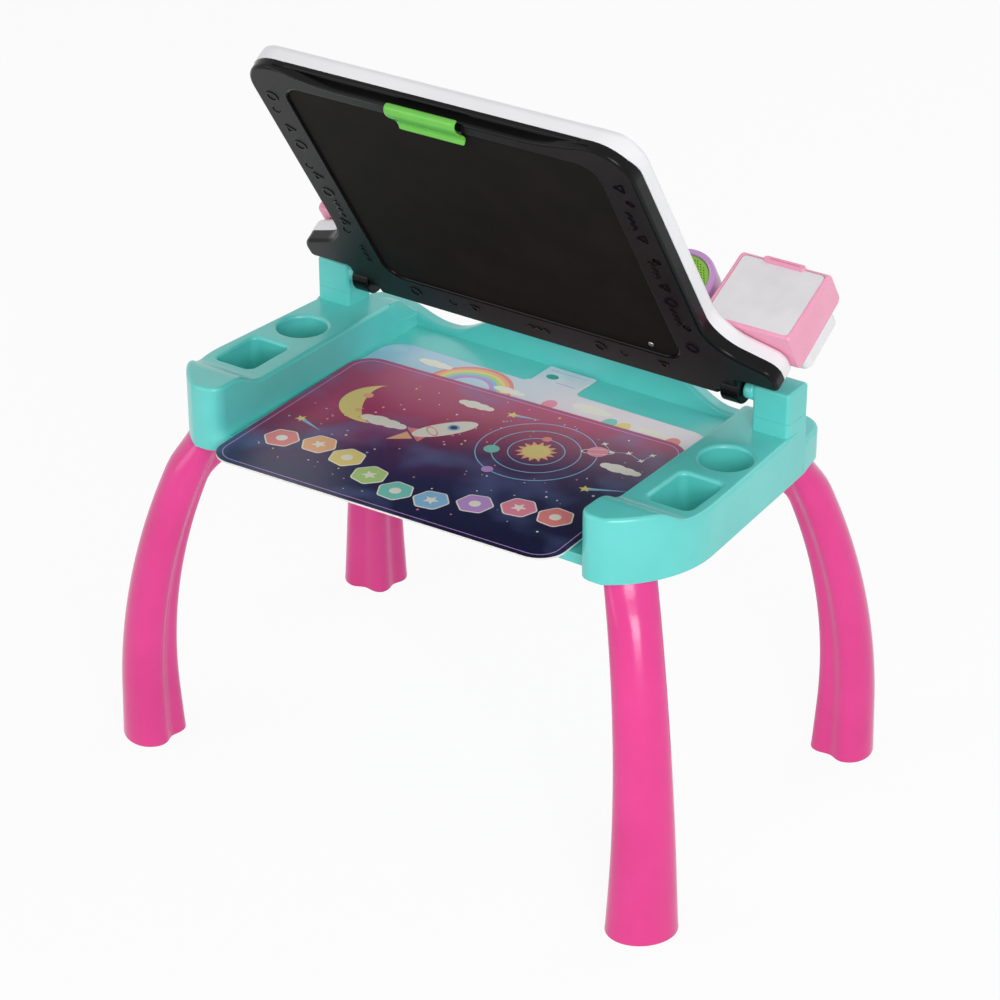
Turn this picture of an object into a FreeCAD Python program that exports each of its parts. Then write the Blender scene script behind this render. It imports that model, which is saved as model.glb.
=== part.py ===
import FreeCAD
import Part
import math
import os
import Sketcher

# Activity desk for a small child: a tray on four curved legs, with a lid that is a
# writing deck on one side and a chalkboard on the other.
# Frame: millimetres, X to the right, Y to the rear, Z up, origin on the floor under the middle.
# Pieces of the lid are drawn as if the lid lay level, with the hinge axis as their X axis,
# and then turned up about that axis.

Vector = FreeCAD.Vector
doc = FreeCAD.newDocument("ActivityDesk")
sheet = doc.addObject("Spreadsheet::Sheet", "Sizes")

drivingSizes = [
    # legs
    ("foot_x", 305.0), ("foot_y", 195.5), ("leg_bearing", 43.0), ("leg_bend_radius", 617.0),
    ("leg_straight", 56.0), ("leg_top_depth", 23.6), ("foot_flare_depth", 5.6),
    ("leg_top_breadth", 25.3), ("foot_flare_breadth", 10.3), ("gusset_reach", 22.0),
    ("gusset_height", 36.0), ("spigot_radius", 15.0), ("spigot_length", 20.0), ("leg_wall", 4.5),
    ("foot_floor", 6.0),
    # tray
    ("tray_bottom", 347.0), ("wing_top", 400.0), ("tray_side", 295.0), ("tray_front", 177.0),
    ("tray_rear", 173.0), ("wing_inner", 212.0), ("side_taper", 13.5),
    ("nose_x", 240.0), ("nose_length", 107.0), ("nose_bow", 17.0), ("nose_corner", 16.0),
    ("horn_rise", 15.0), ("horn_front", 148.0), ("horn_rear", 98.0), ("wing_block", 124.0),
    ("rear_corner_x", 25.0), ("rear_corner_y", 32.0), ("rear_bow", 8.0),
    ("bin_front", 157.0), ("bin_floor", 358.0), ("bin_rear", 156.0), ("tray_wall", 3.0),
    ("rear_wall_low", 380.0), ("rear_wall_high", 397.0), ("rear_wall_rise", 118.0),
    ("rear_wall_ramp", 34.0), ("rear_wall_bow", 3.5), ("skirt_wall", 12.0),
    ("cup_x", 255.0), ("cup_y", 15.0), ("cup_radius", 26.0), ("cup_depth", 44.0),
    ("well_x", 258.0), ("well_y", 62.5), ("well_width", 47.0), ("well_length", 64.0),
    ("well_corner", 9.0),
    # hinges
    ("hinge_y", 86.4), ("hinge_z", 438.0), ("tower_inner", 243.0), ("tower_width", 41.0),
    ("tower_front", 79.4), ("tower_depth", 37.0), ("tower_seam", 415.0), ("tower_corner", 4.0),
    ("peg_width", 22.0), ("peg_depth", 18.0), ("peg_height", 9.0), ("barrel_radius", 9.0),
    ("barrel_root", 1.0), ("knuckle_offset", 7.0),
    ("knuckle_radius", 16.0), ("knuckle_width", 20.0), ("knuckle_gap", 0.4), ("pin_radius", 4.0),
    ("pin_grip", 18.0), ("arm_screw_radius", 2.0), ("arm_screw_head", 4.5),
    ("arm_screw_cap", 3.0), ("arm_roof", 9.0),
    ("running_fit", 0.05), ("seat_clearance", 0.3),
    # lid
    ("lid_angle", 57.26), ("lid_half", 217.0), ("lid_front", 362.0), ("lid_rear", 11.0),
    ("lid_corner", 38.0), ("ear_half", 281.0), ("ear_rear", 25.0), ("ear_front", 66.0),
    ("ear_corner", 16.0), ("ear_rear_corner", 6.0), ("ear_slope", 9.0), ("ear_sweep", 40.0),
    ("knuckle_cheek", 205.0), ("knuckle_root", 2.0), ("deck_notch", 4.0),
    ("frame_face", 9.0), ("frame_depth", 14.0), ("deck_depth", 17.0), ("deck_skin", 4.0),
    ("deck_wall", 4.0), ("deck_rounding", 6.0), ("cavity_inset", 9.0), ("cavity_corner", 20.0),
    ("frame_border", 41.0), ("front_border", 28.0), ("board_rear", 33.0), ("board_corner", 22.0),
    ("board_lap", 6.0), ("board_thickness", 3.0), ("board_recess", 2.5),
    ("grip_half", 165.0), ("grip_run", 50.0), ("grip_depth", 15.0), ("grip_sink", 6.0),
    ("bed_margin", 15.0), ("bed_lip", 11.0), ("bed_rear", 79.0), ("bed_depth", 1.5),
    ("bed_corner", 26.0),
    ("lid_screw_radius", 1.6), ("lid_screw_head", 3.4), ("lid_screw_length", 15.0),
    ("lid_screw_cap", 2.6), ("lid_screw_sink", 0.6), ("lid_boss_radius", 4.5),
    ("screw_inset", 16.0), ("rear_screw_y", 15.0), ("rear_screw_x", 103.0),
    ("film_inset", 20.0), ("film_thickness", 0.8),
    # paper clip
    ("clip_width", 80.0), ("clip_taper", 6.0), ("clip_length", 36.0), ("clip_setback", 3.0),
    ("clip_rod_setback", 16.0), ("clip_rod_drop", 4.0), ("clip_rod_radius", 1.5),
    ("clip_plate", 3.0), ("clip_lip", 4.0), ("clip_jaw", 3.0), ("clip_lug_wall", 2.0),
    ("clip_lug_x", 24.0), ("clip_lug_width", 4.0),
    ("clip_cheek", 4.0), ("clip_spring_radius", 2.4), ("clip_spring_length", 16.0),
    # display box
    ("display_left", 189.0), ("display_width", 96.0), ("display_height", 86.0),
    ("display_front", 74.0), ("display_rear", 24.0), ("display_wall", 3.0),
    ("display_border", 4.5), ("display_rounding", 6.0), ("display_lean", 8.0), ("display_chin", 3.0),
    ("window_thickness", 2.5), ("window_corner", 4.0), ("window_sink", 1.0),
    ("pack_rear", 3.0), ("pack_low", 16.0), ("pack_high", 79.0), ("pack_inset", 3.0),
    ("cell_radius", 7.2), ("cell_length", 50.0), ("cell_pitch", 15.4),
    ("door_width", 66.0), ("door_height", 52.0), ("door_thickness", 2.5),
    ("door_corner", 4.0), ("door_screw_x", 29.0), ("pack_corner", 8.0),
    ("circuit_thickness", 1.6), ("circuit_length", 130.0), ("circuit_breadth", 44.0),
    ("board_x", 40.0), ("board_y", 6.0),
    # speaker
    ("speaker_x", 137.0), ("speaker_half", 38.0), ("speaker_height", 80.0),
    ("speaker_front", 55.0), ("speaker_depth", 24.0), ("speaker_ring", 10.0),
    ("grille_thickness", 3.0), ("driver_radius", 20.0), ("driver_depth", 12.0),
    # phone
    ("phone_left", 278.0), ("phone_length", 160.0), ("phone_front", 62.0), ("phone_width", 44.0),
    ("phone_height", 30.0), ("phone_arch", 12.0), ("phone_end", 44.0),
    ("phone_cover", 2.5), ("cradle_height", 3.0), ("cradle_pad", 26.0), ("cradle_bar", 12.0),
    # switch
    ("switch_x", 20.0), ("switch_y", 30.0), ("switch_travel", 8.0), ("switch_knob", 12.0),
    ("switch_stem", 4.0), ("switch_breadth", 9.0), ("switch_height", 4.0),
    # pages
    ("page_width", 396.0), ("page_length", 270.0), ("page_thickness", 2.0), ("page_corner", 28.0),
    ("page_turn", 2.2), ("top_page_x", 8.0), ("top_page_y", 67.0), ("second_page_x", 10.0),
    ("second_page_rear", 110.0), ("page_tab", 56.0), ("page_tab_reach", 42.0),
]


class Size:
    # A value together with the sheet formula that it comes from.
    def __init__(self, value, text):
        self.value = float(value)
        self.text = text

    def __add__(self, other):
        other = asSize(other)
        return Size(self.value + other.value, f"({self.text} + {other.text})")

    def __sub__(self, other):
        other = asSize(other)
        return Size(self.value - other.value, f"({self.text} - {other.text})")

    def __mul__(self, other):
        other = asSize(other)
        return Size(self.value * other.value, f"({self.text} * {other.text})")

    def __truediv__(self, other):
        other = asSize(other)
        return Size(self.value / other.value, f"({self.text} / {other.text})")

    def __neg__(self):
        return Size(-self.value, f"(0 - {self.text})")


def asSize(number):
    return number if isinstance(number, Size) else Size(number, repr(float(number)))


sizes = {}
for row, (alias, number) in enumerate(drivingSizes, start=1):
    cell = f"A{row}"
    sheet.set(cell, str(number))
    sheet.setAlias(cell, alias)
    sizes[alias] = Size(number, f"Sizes.{alias}")
doc.recompute()


def size(alias):
    return sizes[alias]


def mm(alias):
    return sizes[alias].value


zero = asSize(0.0)
beyond = 10.0  # how far a cut reaches past the solid
parts = []


def bind(item, **links):
    for prop, link in links.items():
        item.setExpression(prop, asSize(link).text)


def place(item, x=zero, y=zero, z=zero):
    base = [asSize(part) for part in (x, y, z)]
    item.Placement.Base = Vector(*[part.value for part in base])
    for axis, part in zip("xyz", base):
        item.setExpression(f"Placement.Base.{axis}", part.text)


def onLid(item):
    # Turns a piece drawn on a level lid up to the lid's angle about the hinge axis.
    item.Placement = FreeCAD.Placement(
        Vector(0, mm("hinge_y"), mm("hinge_z")),
        FreeCAD.Rotation(Vector(-1, 0, 0), mm("lid_angle")))
    item.setExpression("Placement.Base.y", "Sizes.hinge_y")
    item.setExpression("Placement.Base.z", "Sizes.hinge_z")
    item.setExpression("Placement.Rotation.Angle", "Sizes.lid_angle")
    return item


def keep(item, label):
    item.Label = label
    parts.append(item)
    return item


def newBody(label):
    return keep(doc.addObject("PartDesign::Body", "Body"), label)


def newSketch(body, role, lift=zero):
    sketch = body.newObject("Sketcher::SketchObject", "Sketch")
    plane = next(item for item in body.Origin.OriginFeatures if item.Role == role)
    sketch.AttachmentSupport = [(plane, "")]
    sketch.MapMode = "FlatFace"
    lift = asSize(lift)
    sketch.AttachmentOffset = FreeCAD.Placement(Vector(0, 0, lift.value), FreeCAD.Rotation())
    sketch.setExpression("AttachmentOffset.Base.z", lift.text)
    return sketch


def fix(sketch, kind, where, link):
    link = asSize(link)
    index = sketch.addConstraint(Sketcher.Constraint(kind, *where, link.value))
    name = f"{kind}{index}"
    sketch.renameConstraint(index, name)
    sketch.setExpression(f"Constraints.{name}", link.text)


def drawLoop(sketch, corners):
    # Corners run counter-clockwise. The side after a corner is straight, or bows out by its
    # third value (in, if that is negative).
    corners = [tuple(asSize(part) for part in corner) for corner in corners]
    sides = []
    for corner, after in zip(corners, corners[1:] + corners[:1]):
        start = Vector(corner[0].value, corner[1].value, 0)
        end = Vector(after[0].value, after[1].value, 0)
        if len(corner) == 2:
            sides.append((sketch.addGeometry(Part.LineSegment(start, end), False), 1, 2))
            continue
        chord = end - start
        across = Vector(chord.y, -chord.x, 0).normalize()
        middle = (start + end) * 0.5 + across * corner[2].value
        side = sketch.addGeometry(Part.Arc(start, middle, end), False)
        forward = (sketch.getPoint(side, 1) - start).Length < 1e-6
        sides.append((side, 1, 2) if forward else (side, 2, 1))
    for side, after in zip(sides, sides[1:] + sides[:1]):
        sketch.addConstraint(Sketcher.Constraint("Coincident", side[0], side[2], after[0], after[1]))
    for corner, after, side in zip(corners, corners[1:] + corners[:1], sides):
        fix(sketch, "DistanceX", (-1, 1, side[0], side[1]), corner[0])
        fix(sketch, "DistanceY", (-1, 1, side[0], side[1]), corner[1])
        if len(corner) == 3:
            across = after[0] - corner[0]
            along = after[1] - corner[1]
            bow = corner[2] if corner[2].value > 0 else -corner[2]
            fix(sketch, "Radius", (side[0],),
                ((across * across + along * along) / 4.0 + bow * bow) / (bow * 2.0))


def drawCircle(sketch, x, y, radius):
    x, y, radius = asSize(x), asSize(y), asSize(radius)
    circle = sketch.addGeometry(Part.Circle(Vector(x.value, y.value, 0), Vector(0, 0, 1), radius.value))
    fix(sketch, "DistanceX", (-1, 1, circle, 3), x)
    fix(sketch, "DistanceY", (-1, 1, circle, 3), y)
    fix(sketch, "Radius", (circle,), radius)


def drawBox(sketch, left, right, low, high, corner=None):
    # A rectangle, with quarter-round corners where a corner radius is given.
    left, right, low, high = (asSize(part) for part in (left, right, low, high))
    if corner is None:
        drawLoop(sketch, [(left, low), (right, low), (right, high), (left, high)])
        return
    bow = corner * (1.0 - math.sqrt(0.5))
    drawLoop(sketch, [
        (left + corner, low), (right - corner, low, bow),
        (right, low + corner), (right, high - corner, bow),
        (right - corner, high), (left + corner, high, bow),
        (left, high - corner), (left, low + corner, bow)])


def addFeature(body, kind, sketch, length, back=False, both=False):
    feature = body.newObject(f"PartDesign::{kind}", kind)
    feature.Profile = sketch
    bind(feature, Length=length)
    feature.Reversed = back
    if both:
        feature.SideType = "Symmetric"
    return feature


def pad(body, sketch, length, back=False, both=False):
    return addFeature(body, "Pad", sketch, length, back, both)


def pocket(body, sketch, length, back=False, both=False):
    return addFeature(body, "Pocket", sketch, length, back, both)


def roundEdges(body, radius, choose):
    doc.recompute()
    base = body.Tip
    names = [f"Edge{index}" for index, edge in enumerate(base.Shape.Edges, start=1) if choose(edge)]
    rounding = body.newObject("PartDesign::Fillet", "Fillet")
    rounding.Base = (base, names)
    bind(rounding, Radius=radius)
    return rounding


def mirrored(half):
    # Completes an outline that is symmetric about its second axis from the half with x > 0.
    # The half starts and ends on or beside that axis; each bow belongs to the side after it.
    other = []
    for index in range(len(half) - 1, -1, -1):
        x, y = half[index][0], half[index][1]
        bow = half[index - 1][2:] if index else ()
        other.append((-asSize(x), asSize(y)) + tuple(bow))
    return [tuple(corner) for corner in half] + other


def newCylinder(label, radius, height):
    item = doc.addObject("Part::Cylinder", "Cylinder")
    bind(item, Radius=radius, Height=height)
    if label:
        keep(item, label)
    return item


def newBox(length, width, height):
    item = doc.addObject("Part::Box", "Box")
    bind(item, Length=length, Width=width, Height=height)
    return item


def levelAt(edge, z, slack=0.01):
    box = edge.BoundBox
    return abs(box.ZMin - z) < slack and abs(box.ZMax - z) < slack


quarterBow = 1.0 - math.sqrt(0.5)


# Legs: lofted through horizontal sections, each round outside with two shallow flutes inside

def legSection(height, wall=0.0):
    top = mm("tray_bottom")
    flare = (1.0 - height / top) ** 2
    depth = mm("leg_top_depth") + mm("foot_flare_depth") * flare - wall
    breadth = mm("leg_top_breadth") + mm("foot_flare_breadth") * flare - wall
    rise = max(height - mm("leg_straight"), 0.0)
    bend = mm("leg_bend_radius")
    inward = bend - math.sqrt(bend * bend - rise * rise)
    gusset = max(0.0, (height - top + mm("gusset_height")) / mm("gusset_height")) * mm("gusset_reach")

    def point(along, across, rib=0.0):
        return Vector(along * depth - inward - rib * gusset, across * breadth, height)

    half = [
        (point(1, 0), point(0.72, 0.70), point(-0.10, 1.0)),
        (point(-0.10, 1.0), point(-0.38, 0.93), point(-0.56, 0.72)),
        (point(-0.56, 0.72), point(-0.68, 0.46, 0.35), point(-0.88, 0.24, 0.85)),
        (point(-0.88, 0.24, 0.85), point(-1.0, 0, 1), point(-0.88, -0.24, 0.85))]
    arcs = [Part.Arc(*points).toShape() for points in half]
    for start, middle, end in reversed(half[:3]):
        flip = [Vector(spot.x, -spot.y, spot.z) for spot in (end, middle, start)]
        arcs.append(Part.Arc(*flip).toShape())
    return Part.Wire(arcs)


def legTopInward():
    bend = mm("leg_bend_radius")
    return bend - math.sqrt(bend * bend - (mm("tray_bottom") - mm("leg_straight")) ** 2)


def legShape():
    top = mm("tray_bottom")
    bent = top - mm("gusset_height") - mm("leg_straight")
    stations = [mm("leg_straight")]
    stations += [mm("leg_straight") + bent * share for share in (0.27, 0.52, 0.77, 1.0)]
    leg = Part.makeLoft([legSection(height) for height in [0.0] + stations + [top]], True, False)
    wall = mm("leg_wall")
    hollow = Part.makeLoft(
        [legSection(height, wall) for height in [mm("foot_floor")] + stations], True, False)
    leg = leg.cut(hollow)
    spigot = Part.makeCylinder(
        mm("spigot_radius"), mm("spigot_length"), Vector(-legTopInward(), 0, top))
    return leg.fuse(spigot).removeSplitter()


bearing = mm("leg_bearing")
legFields = [
    ("leg_front_left", -1, -1), ("leg_front_right", 1, -1),
    ("leg_rear_left", -1, 1), ("leg_rear_right", 1, 1)]
legSolid = legShape()
for label, sideways, lengthways in legFields:
    leg = keep(doc.addObject("Part::Feature", "Leg"), label)
    leg.Shape = legSolid
    turn = math.degrees(math.atan2(
        lengthways * math.sin(math.radians(bearing)), sideways * math.cos(math.radians(bearing))))
    leg.Placement = FreeCAD.Placement(
        Vector(sideways * mm("foot_x"), lengthways * mm("foot_y"), 0),
        FreeCAD.Rotation(Vector(0, 0, 1), turn))

spigotX = size("foot_x") - legTopInward() * math.cos(math.radians(bearing))
spigotY = size("foot_y") - legTopInward() * math.sin(math.radians(bearing))


# Storage tray: one moulding with two wings, a bin that is open in front, and the hinge stubs

tray = newBody("storage_tray")
side = size("tray_side")
front = size("tray_front")
rear = size("tray_rear")
inner = size("wing_inner")
noseCorner = size("nose_corner")
plan = newSketch(tray, "XY_Plane", size("tray_bottom"))
drawLoop(plan, mirrored([
    (inner, -size("bin_front")),
    (inner, -front + noseCorner, noseCorner * quarterBow),
    (inner + noseCorner, -front),
    (size("nose_x"), -front, size("nose_bow")),
    (side, -front + size("nose_length")),
    (side - size("side_taper"), rear - size("rear_corner_y"), size("rear_bow")),
    (side - size("side_taper") - size("rear_corner_x"), rear)]))
hornTop = size("wing_top") + size("horn_rise")
pad(tray, plan, hornTop - size("tray_bottom"))

# The tops of the wings run level and sweep up to a horn at the front.
clearOver = hornTop + beyond * 2.0
hornMiddle = -(size("horn_front") + size("horn_rear")) / 2.0
sweepBow = size("horn_rise") * 0.14
topCut = newSketch(tray, "YZ_Plane")
drawLoop(topCut, [
    (-size("horn_front"), hornTop, -sweepBow),
    (hornMiddle, size("wing_top") + size("horn_rise") / 2.0, sweepBow),
    (-size("horn_rear"), size("wing_top")), (rear + beyond, size("wing_top")),
    (rear + beyond, clearOver), (-size("horn_front"), clearOver)])
pocket(tray, topCut, side * 2.0 + beyond * 2.0, both=True)

binPlan = newSketch(tray, "XY_Plane", hornTop)
drawBox(binPlan, -inner, inner, -front - beyond, size("bin_rear"))
pocket(tray, binPlan, hornTop - size("bin_floor"))

rearTop = newSketch(tray, "XZ_Plane", -size("tower_front") - size("tower_depth") - size("seat_clearance"))
rise = size("rear_wall_rise")
low = size("rear_wall_low")
high = size("rear_wall_high")
ramp = size("rear_wall_ramp")
rampBow = size("rear_wall_bow")
rampMiddle = (low + high) / 2.0
drawLoop(rearTop, [
    (-side - beyond, low), (-rise - ramp, low, rampBow), (-rise - ramp / 2.0, rampMiddle, -rampBow),
    (-rise, high), (rise, high, -rampBow), (rise + ramp / 2.0, rampMiddle, rampBow),
    (rise + ramp, low), (side + beyond, low), (side + beyond, clearOver), (-side - beyond, clearOver)])
pocket(tray, rearTop, rear)

wall = size("tray_wall")
hollow = newSketch(tray, "XY_Plane", size("tray_bottom"))
hollowFront = -size("wing_block")
for sign in (-1.0, 1.0):
    near = (inner + wall) * sign
    far = (side - size("skirt_wall")) * sign
    sidesInOrder = (near, far) if sign > 0 else (far, near)
    drawBox(hollow, *sidesInOrder, hollowFront, size("tower_front") + size("tower_depth"))
pocket(tray, hollow, size("wing_top") - size("tray_bottom") - wall, back=True)

binHollow = newSketch(tray, "XY_Plane", size("tray_bottom"))
drawBox(binHollow, -inner + wall, inner - wall, -size("bin_front") + wall, size("bin_rear") - wall)
pocket(tray, binHollow, size("bin_floor") - size("tray_bottom") - wall, back=True)

cupFloor = size("wing_top") - size("cup_depth")
plugs = newSketch(tray, "XY_Plane", cupFloor - wall)
cups = newSketch(tray, "XY_Plane", size("wing_top"))
halfWidth = size("well_width") / 2.0
halfLength = size("well_length") / 2.0
for sign in (-1.0, 1.0):
    drawCircle(plugs, size("cup_x") * sign, size("cup_y"), size("cup_radius") + wall)
    drawCircle(cups, size("cup_x") * sign, size("cup_y"), size("cup_radius"))
    middle = size("well_x") * sign
    drawBox(plugs, middle - halfWidth - wall, middle + halfWidth + wall,
            -size("well_y") - halfLength - wall, -size("well_y") + halfLength + wall)
    drawBox(cups, middle - halfWidth, middle + halfWidth,
            -size("well_y") - halfLength, -size("well_y") + halfLength, size("well_corner"))
pad(tray, plugs, size("cup_depth"))
pocket(tray, cups, size("cup_depth"))

stubs = newSketch(tray, "XY_Plane", size("wing_top") - wall)
pegs = newSketch(tray, "XY_Plane", size("tower_seam") - wall)
armMiddleX = size("tower_inner") + size("tower_width") / 2.0
armMiddleY = size("tower_front") + size("tower_depth") / 2.0
towerTop = size("hinge_z") + size("barrel_radius")
for sign in (-1.0, 1.0):
    centre = armMiddleX * sign
    drawBox(stubs, centre - size("tower_width") / 2.0, centre + size("tower_width") / 2.0,
            size("tower_front"), size("tower_front") + size("tower_depth"), size("tower_corner"))
    drawBox(pegs, centre - size("peg_width") / 2.0, centre + size("peg_width") / 2.0,
            armMiddleY - size("peg_depth") / 2.0, armMiddleY + size("peg_depth") / 2.0)
pad(tray, stubs, size("tower_seam") - size("wing_top") + wall)
pad(tray, pegs, size("peg_height") + wall)

sockets = newSketch(tray, "XY_Plane", size("tray_bottom"))
armHoles = newSketch(tray, "XY_Plane", size("wing_top") - wall)
for sign in (-1.0, 1.0):
    drawCircle(armHoles, armMiddleX * sign, armMiddleY, size("arm_screw_radius") + size("running_fit"))
    for lengthways in (-1.0, 1.0):
        drawCircle(sockets, spigotX * sign, spigotY * lengthways,
                   size("spigot_radius") + size("running_fit"))
pocket(tray, sockets, size("spigot_length") + size("seat_clearance"), back=True)
pocket(tray, armHoles, towerTop - size("wing_top"), back=True)


# Hinge arms: blocks that sit on the tray's stubs, with a barrel towards the lid's knuckle

knuckleStart = size("knuckle_cheek") + size("knuckle_offset")
knuckleEnd = knuckleStart + size("knuckle_width")
for label, sign in (("hinge_arm_left", -1.0), ("hinge_arm_right", 1.0)):
    arm = newBody(label)
    block = newSketch(arm, "XY_Plane", size("tower_seam"))
    centre = armMiddleX * sign
    drawBox(block, centre - size("tower_width") / 2.0, centre + size("tower_width") / 2.0,
            size("tower_front"), size("tower_front") + size("tower_depth"), size("tower_corner"))
    pad(arm, block, towerTop - size("tower_seam"))
    barrelRoot = size("tower_inner") + size("barrel_root")
    barrel = newSketch(arm, "YZ_Plane", barrelRoot * sign)
    drawCircle(barrel, size("hinge_y"), size("hinge_z"), size("barrel_radius"))
    pad(arm, barrel, barrelRoot - knuckleEnd - size("knuckle_gap"), back=sign > 0)
    bore = newSketch(arm, "YZ_Plane", knuckleEnd * sign)
    drawCircle(bore, size("hinge_y"), size("hinge_z"), size("pin_radius") + size("running_fit"))
    pocket(arm, bore, size("tower_inner") + size("pin_grip") - knuckleEnd, back=sign > 0)
    pegHole = newSketch(arm, "XY_Plane", size("tower_seam"))
    drawBox(pegHole, centre - size("peg_width") / 2.0 - size("running_fit"),
            centre + size("peg_width") / 2.0 + size("running_fit"),
            armMiddleY - size("peg_depth") / 2.0 - size("running_fit"),
            armMiddleY + size("peg_depth") / 2.0 + size("running_fit"))
    pocket(arm, pegHole, size("peg_height") + size("seat_clearance"), back=True)
    screwHole = newSketch(arm, "XY_Plane", size("tower_seam"))
    drawCircle(screwHole, centre, armMiddleY, size("arm_screw_radius") + size("running_fit"))
    pocket(arm, screwHole, towerTop - size("tower_seam") - size("arm_roof"), back=True)

for label, sign in (("hinge_pin_left", -1.0), ("hinge_pin_right", 1.0)):
    pin = newCylinder(label, size("pin_radius"), size("tower_inner") + size("pin_grip") - knuckleStart)
    pin.Placement.Rotation = FreeCAD.Rotation(Vector(0, 1, 0), 90.0 * sign)
    place(pin, knuckleStart * sign, size("hinge_y"), size("hinge_z"))

armScrews = []
armScrewSpare = wall + size("seat_clearance")
for sign in (-1.0, 1.0):
    shank = newCylinder(
        None, size("arm_screw_radius"), towerTop - size("wing_top") + wall - size("arm_roof") - armScrewSpare)
    place(shank, armMiddleX * sign, armMiddleY, size("wing_top") - wall)
    head = newCylinder(None, size("arm_screw_head"), size("arm_screw_cap"))
    place(head, armMiddleX * sign, armMiddleY, size("wing_top") - wall - size("arm_screw_cap"))
    screw = doc.addObject("Part::Fuse", "Screw")
    screw.Base = shank
    screw.Tool = head
    armScrews.append(screw)
armScrewGroup = keep(doc.addObject("Part::Compound", "Screws"), "hinge_arm_screws")
armScrewGroup.Links = armScrews


# Lid outline, shared by the black frame and the white deck

lidHalf = size("lid_half")
lidFront = size("lid_front")
earHalf = size("ear_half")
earRear = size("ear_rear")
earFront = size("ear_front")
corner = size("lid_corner")
earCorner = size("ear_corner")
sweep = size("ear_sweep")
earSlope = size("ear_slope")
earRearCorner = size("ear_rear_corner")


def lidOutline(rearNotch):
    # Right half from the free edge round the ear to the rear edge; the left half mirrors it.
    half = [
        (lidHalf - corner, -lidFront, corner * quarterBow),
        (lidHalf, -lidFront + corner),
        (lidHalf, -earFront - sweep, -sweep * 0.24),
        (lidHalf + sweep * 0.62, -earFront),
        (earHalf - earCorner, -earFront + earSlope, earCorner * quarterBow),
        (earHalf, -earFront + earSlope + earCorner),
        (earHalf, -earRear - earRearCorner, earRearCorner * quarterBow),
        (earHalf - earRearCorner, -earRear)]
    return mirrored(half + rearNotch)


frameBottom = -size("frame_face")
frameTop = frameBottom + size("frame_depth")
deckTop = frameTop + size("deck_depth")
cheek = size("knuckle_cheek")

# Chalkboard frame: the black half of the lid, with the knuckles that turn on the pins

frame = newBody("chalkboard_frame")
frameSketch = newSketch(frame, "XY_Plane", frameBottom)
drawLoop(frameSketch, lidOutline([
    (knuckleEnd, -earRear), (knuckleEnd, size("knuckle_root")), (cheek, size("knuckle_root")),
    (cheek, size("lid_rear"))]))
pad(frame, frameSketch, size("frame_depth"))
boardHalf = lidHalf - size("frame_border")
boardFar = lidFront - size("front_border")
window = newSketch(frame, "XY_Plane", frameTop)
drawBox(window, -boardHalf, boardHalf, -boardFar, -size("board_rear"), size("board_corner"))
pocket(frame, window, size("frame_depth") + beyond)
lap = size("board_lap")
seat = newSketch(frame, "XY_Plane", frameTop)
drawBox(seat, -boardHalf - lap, boardHalf + lap, -boardFar - lap, -size("board_rear") + lap,
        size("board_corner") + lap)
pocket(frame, seat, size("frame_depth") - size("board_recess"))
# Finger recess: the face sweeps in from the free edge and leaves a ledge below the deck.
grip = newSketch(frame, "XY_Plane", frameBottom)
gripHalf = size("grip_half")
gripRun = size("grip_run")
gripDepth = size("grip_depth")
gripBow = gripDepth * 0.25
drawLoop(grip, mirrored([
    (gripHalf, -lidFront - beyond), (gripHalf, -lidFront, gripBow),
    (gripHalf - gripRun / 2.0, -lidFront + gripDepth / 2.0, -gripBow),
    (gripHalf - gripRun, -lidFront + gripDepth)]))
pocket(frame, grip, size("grip_sink"), back=True)
for sign in (-1.0, 1.0):
    knuckle = newSketch(frame, "YZ_Plane", knuckleStart * sign)
    drawCircle(knuckle, zero, zero, size("knuckle_radius"))
    pad(frame, knuckle, size("knuckle_width"), back=sign < 0)
for sign in (-1.0, 1.0):
    bore = newSketch(frame, "YZ_Plane", (cheek - wall) * sign)
    drawCircle(bore, zero, zero, size("pin_radius") + size("running_fit"))
    pocket(frame, bore, knuckleEnd - cheek + wall + beyond, back=sign > 0)
clipFront = -lidFront + size("clip_setback")
rodY = clipFront + size("clip_rod_setback")
rodZ = frameBottom - size("clip_rod_drop")
lugHalf = size("clip_rod_radius") + size("clip_lug_wall")
lugRound = lugHalf * 0.8
lugRoot = frameBottom + size("clip_lug_wall")
for sign in (-1.0, 1.0):
    lug = newSketch(frame, "YZ_Plane", size("clip_lug_x") * sign)
    drawLoop(lug, [
        (rodY - lugHalf, lugRoot), (rodY - lugHalf, rodZ, lugRound),
        (rodY + lugHalf, rodZ), (rodY + lugHalf, lugRoot)])
    pad(frame, lug, size("clip_lug_width"), back=sign < 0)
rodBore = newSketch(frame, "YZ_Plane")
drawCircle(rodBore, rodY, rodZ, size("clip_rod_radius") + size("running_fit"))
pocket(frame, rodBore, (size("clip_lug_x") + size("clip_lug_width")) * 2.0 + beyond, both=True)

boardLength = boardFar - size("board_rear")
screwRow = [(lidHalf - size("screw_inset"), -size("board_rear") - boardLength * share)
            for share in (0.22, 0.57, 0.86)]
screwRow.append((size("rear_screw_x"), -size("rear_screw_y")))
screwSpots = [(x * sign, y) for x, y in screwRow for sign in (-1.0, 1.0)]
headDrop = size("lid_screw_cap")
headSink = size("lid_screw_sink")
screwHeads = newSketch(frame, "XY_Plane", frameBottom)
screwShanks = newSketch(frame, "XY_Plane", frameBottom)
for x, y in screwSpots:
    drawCircle(screwHeads, x, y, size("lid_screw_head") + size("seat_clearance"))
    drawCircle(screwShanks, x, y, size("lid_screw_radius") + size("running_fit"))
pocket(frame, screwHeads, headDrop + headSink, back=True)
pocket(frame, screwShanks, size("frame_depth") + beyond, back=True)
onLid(frame)

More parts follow.
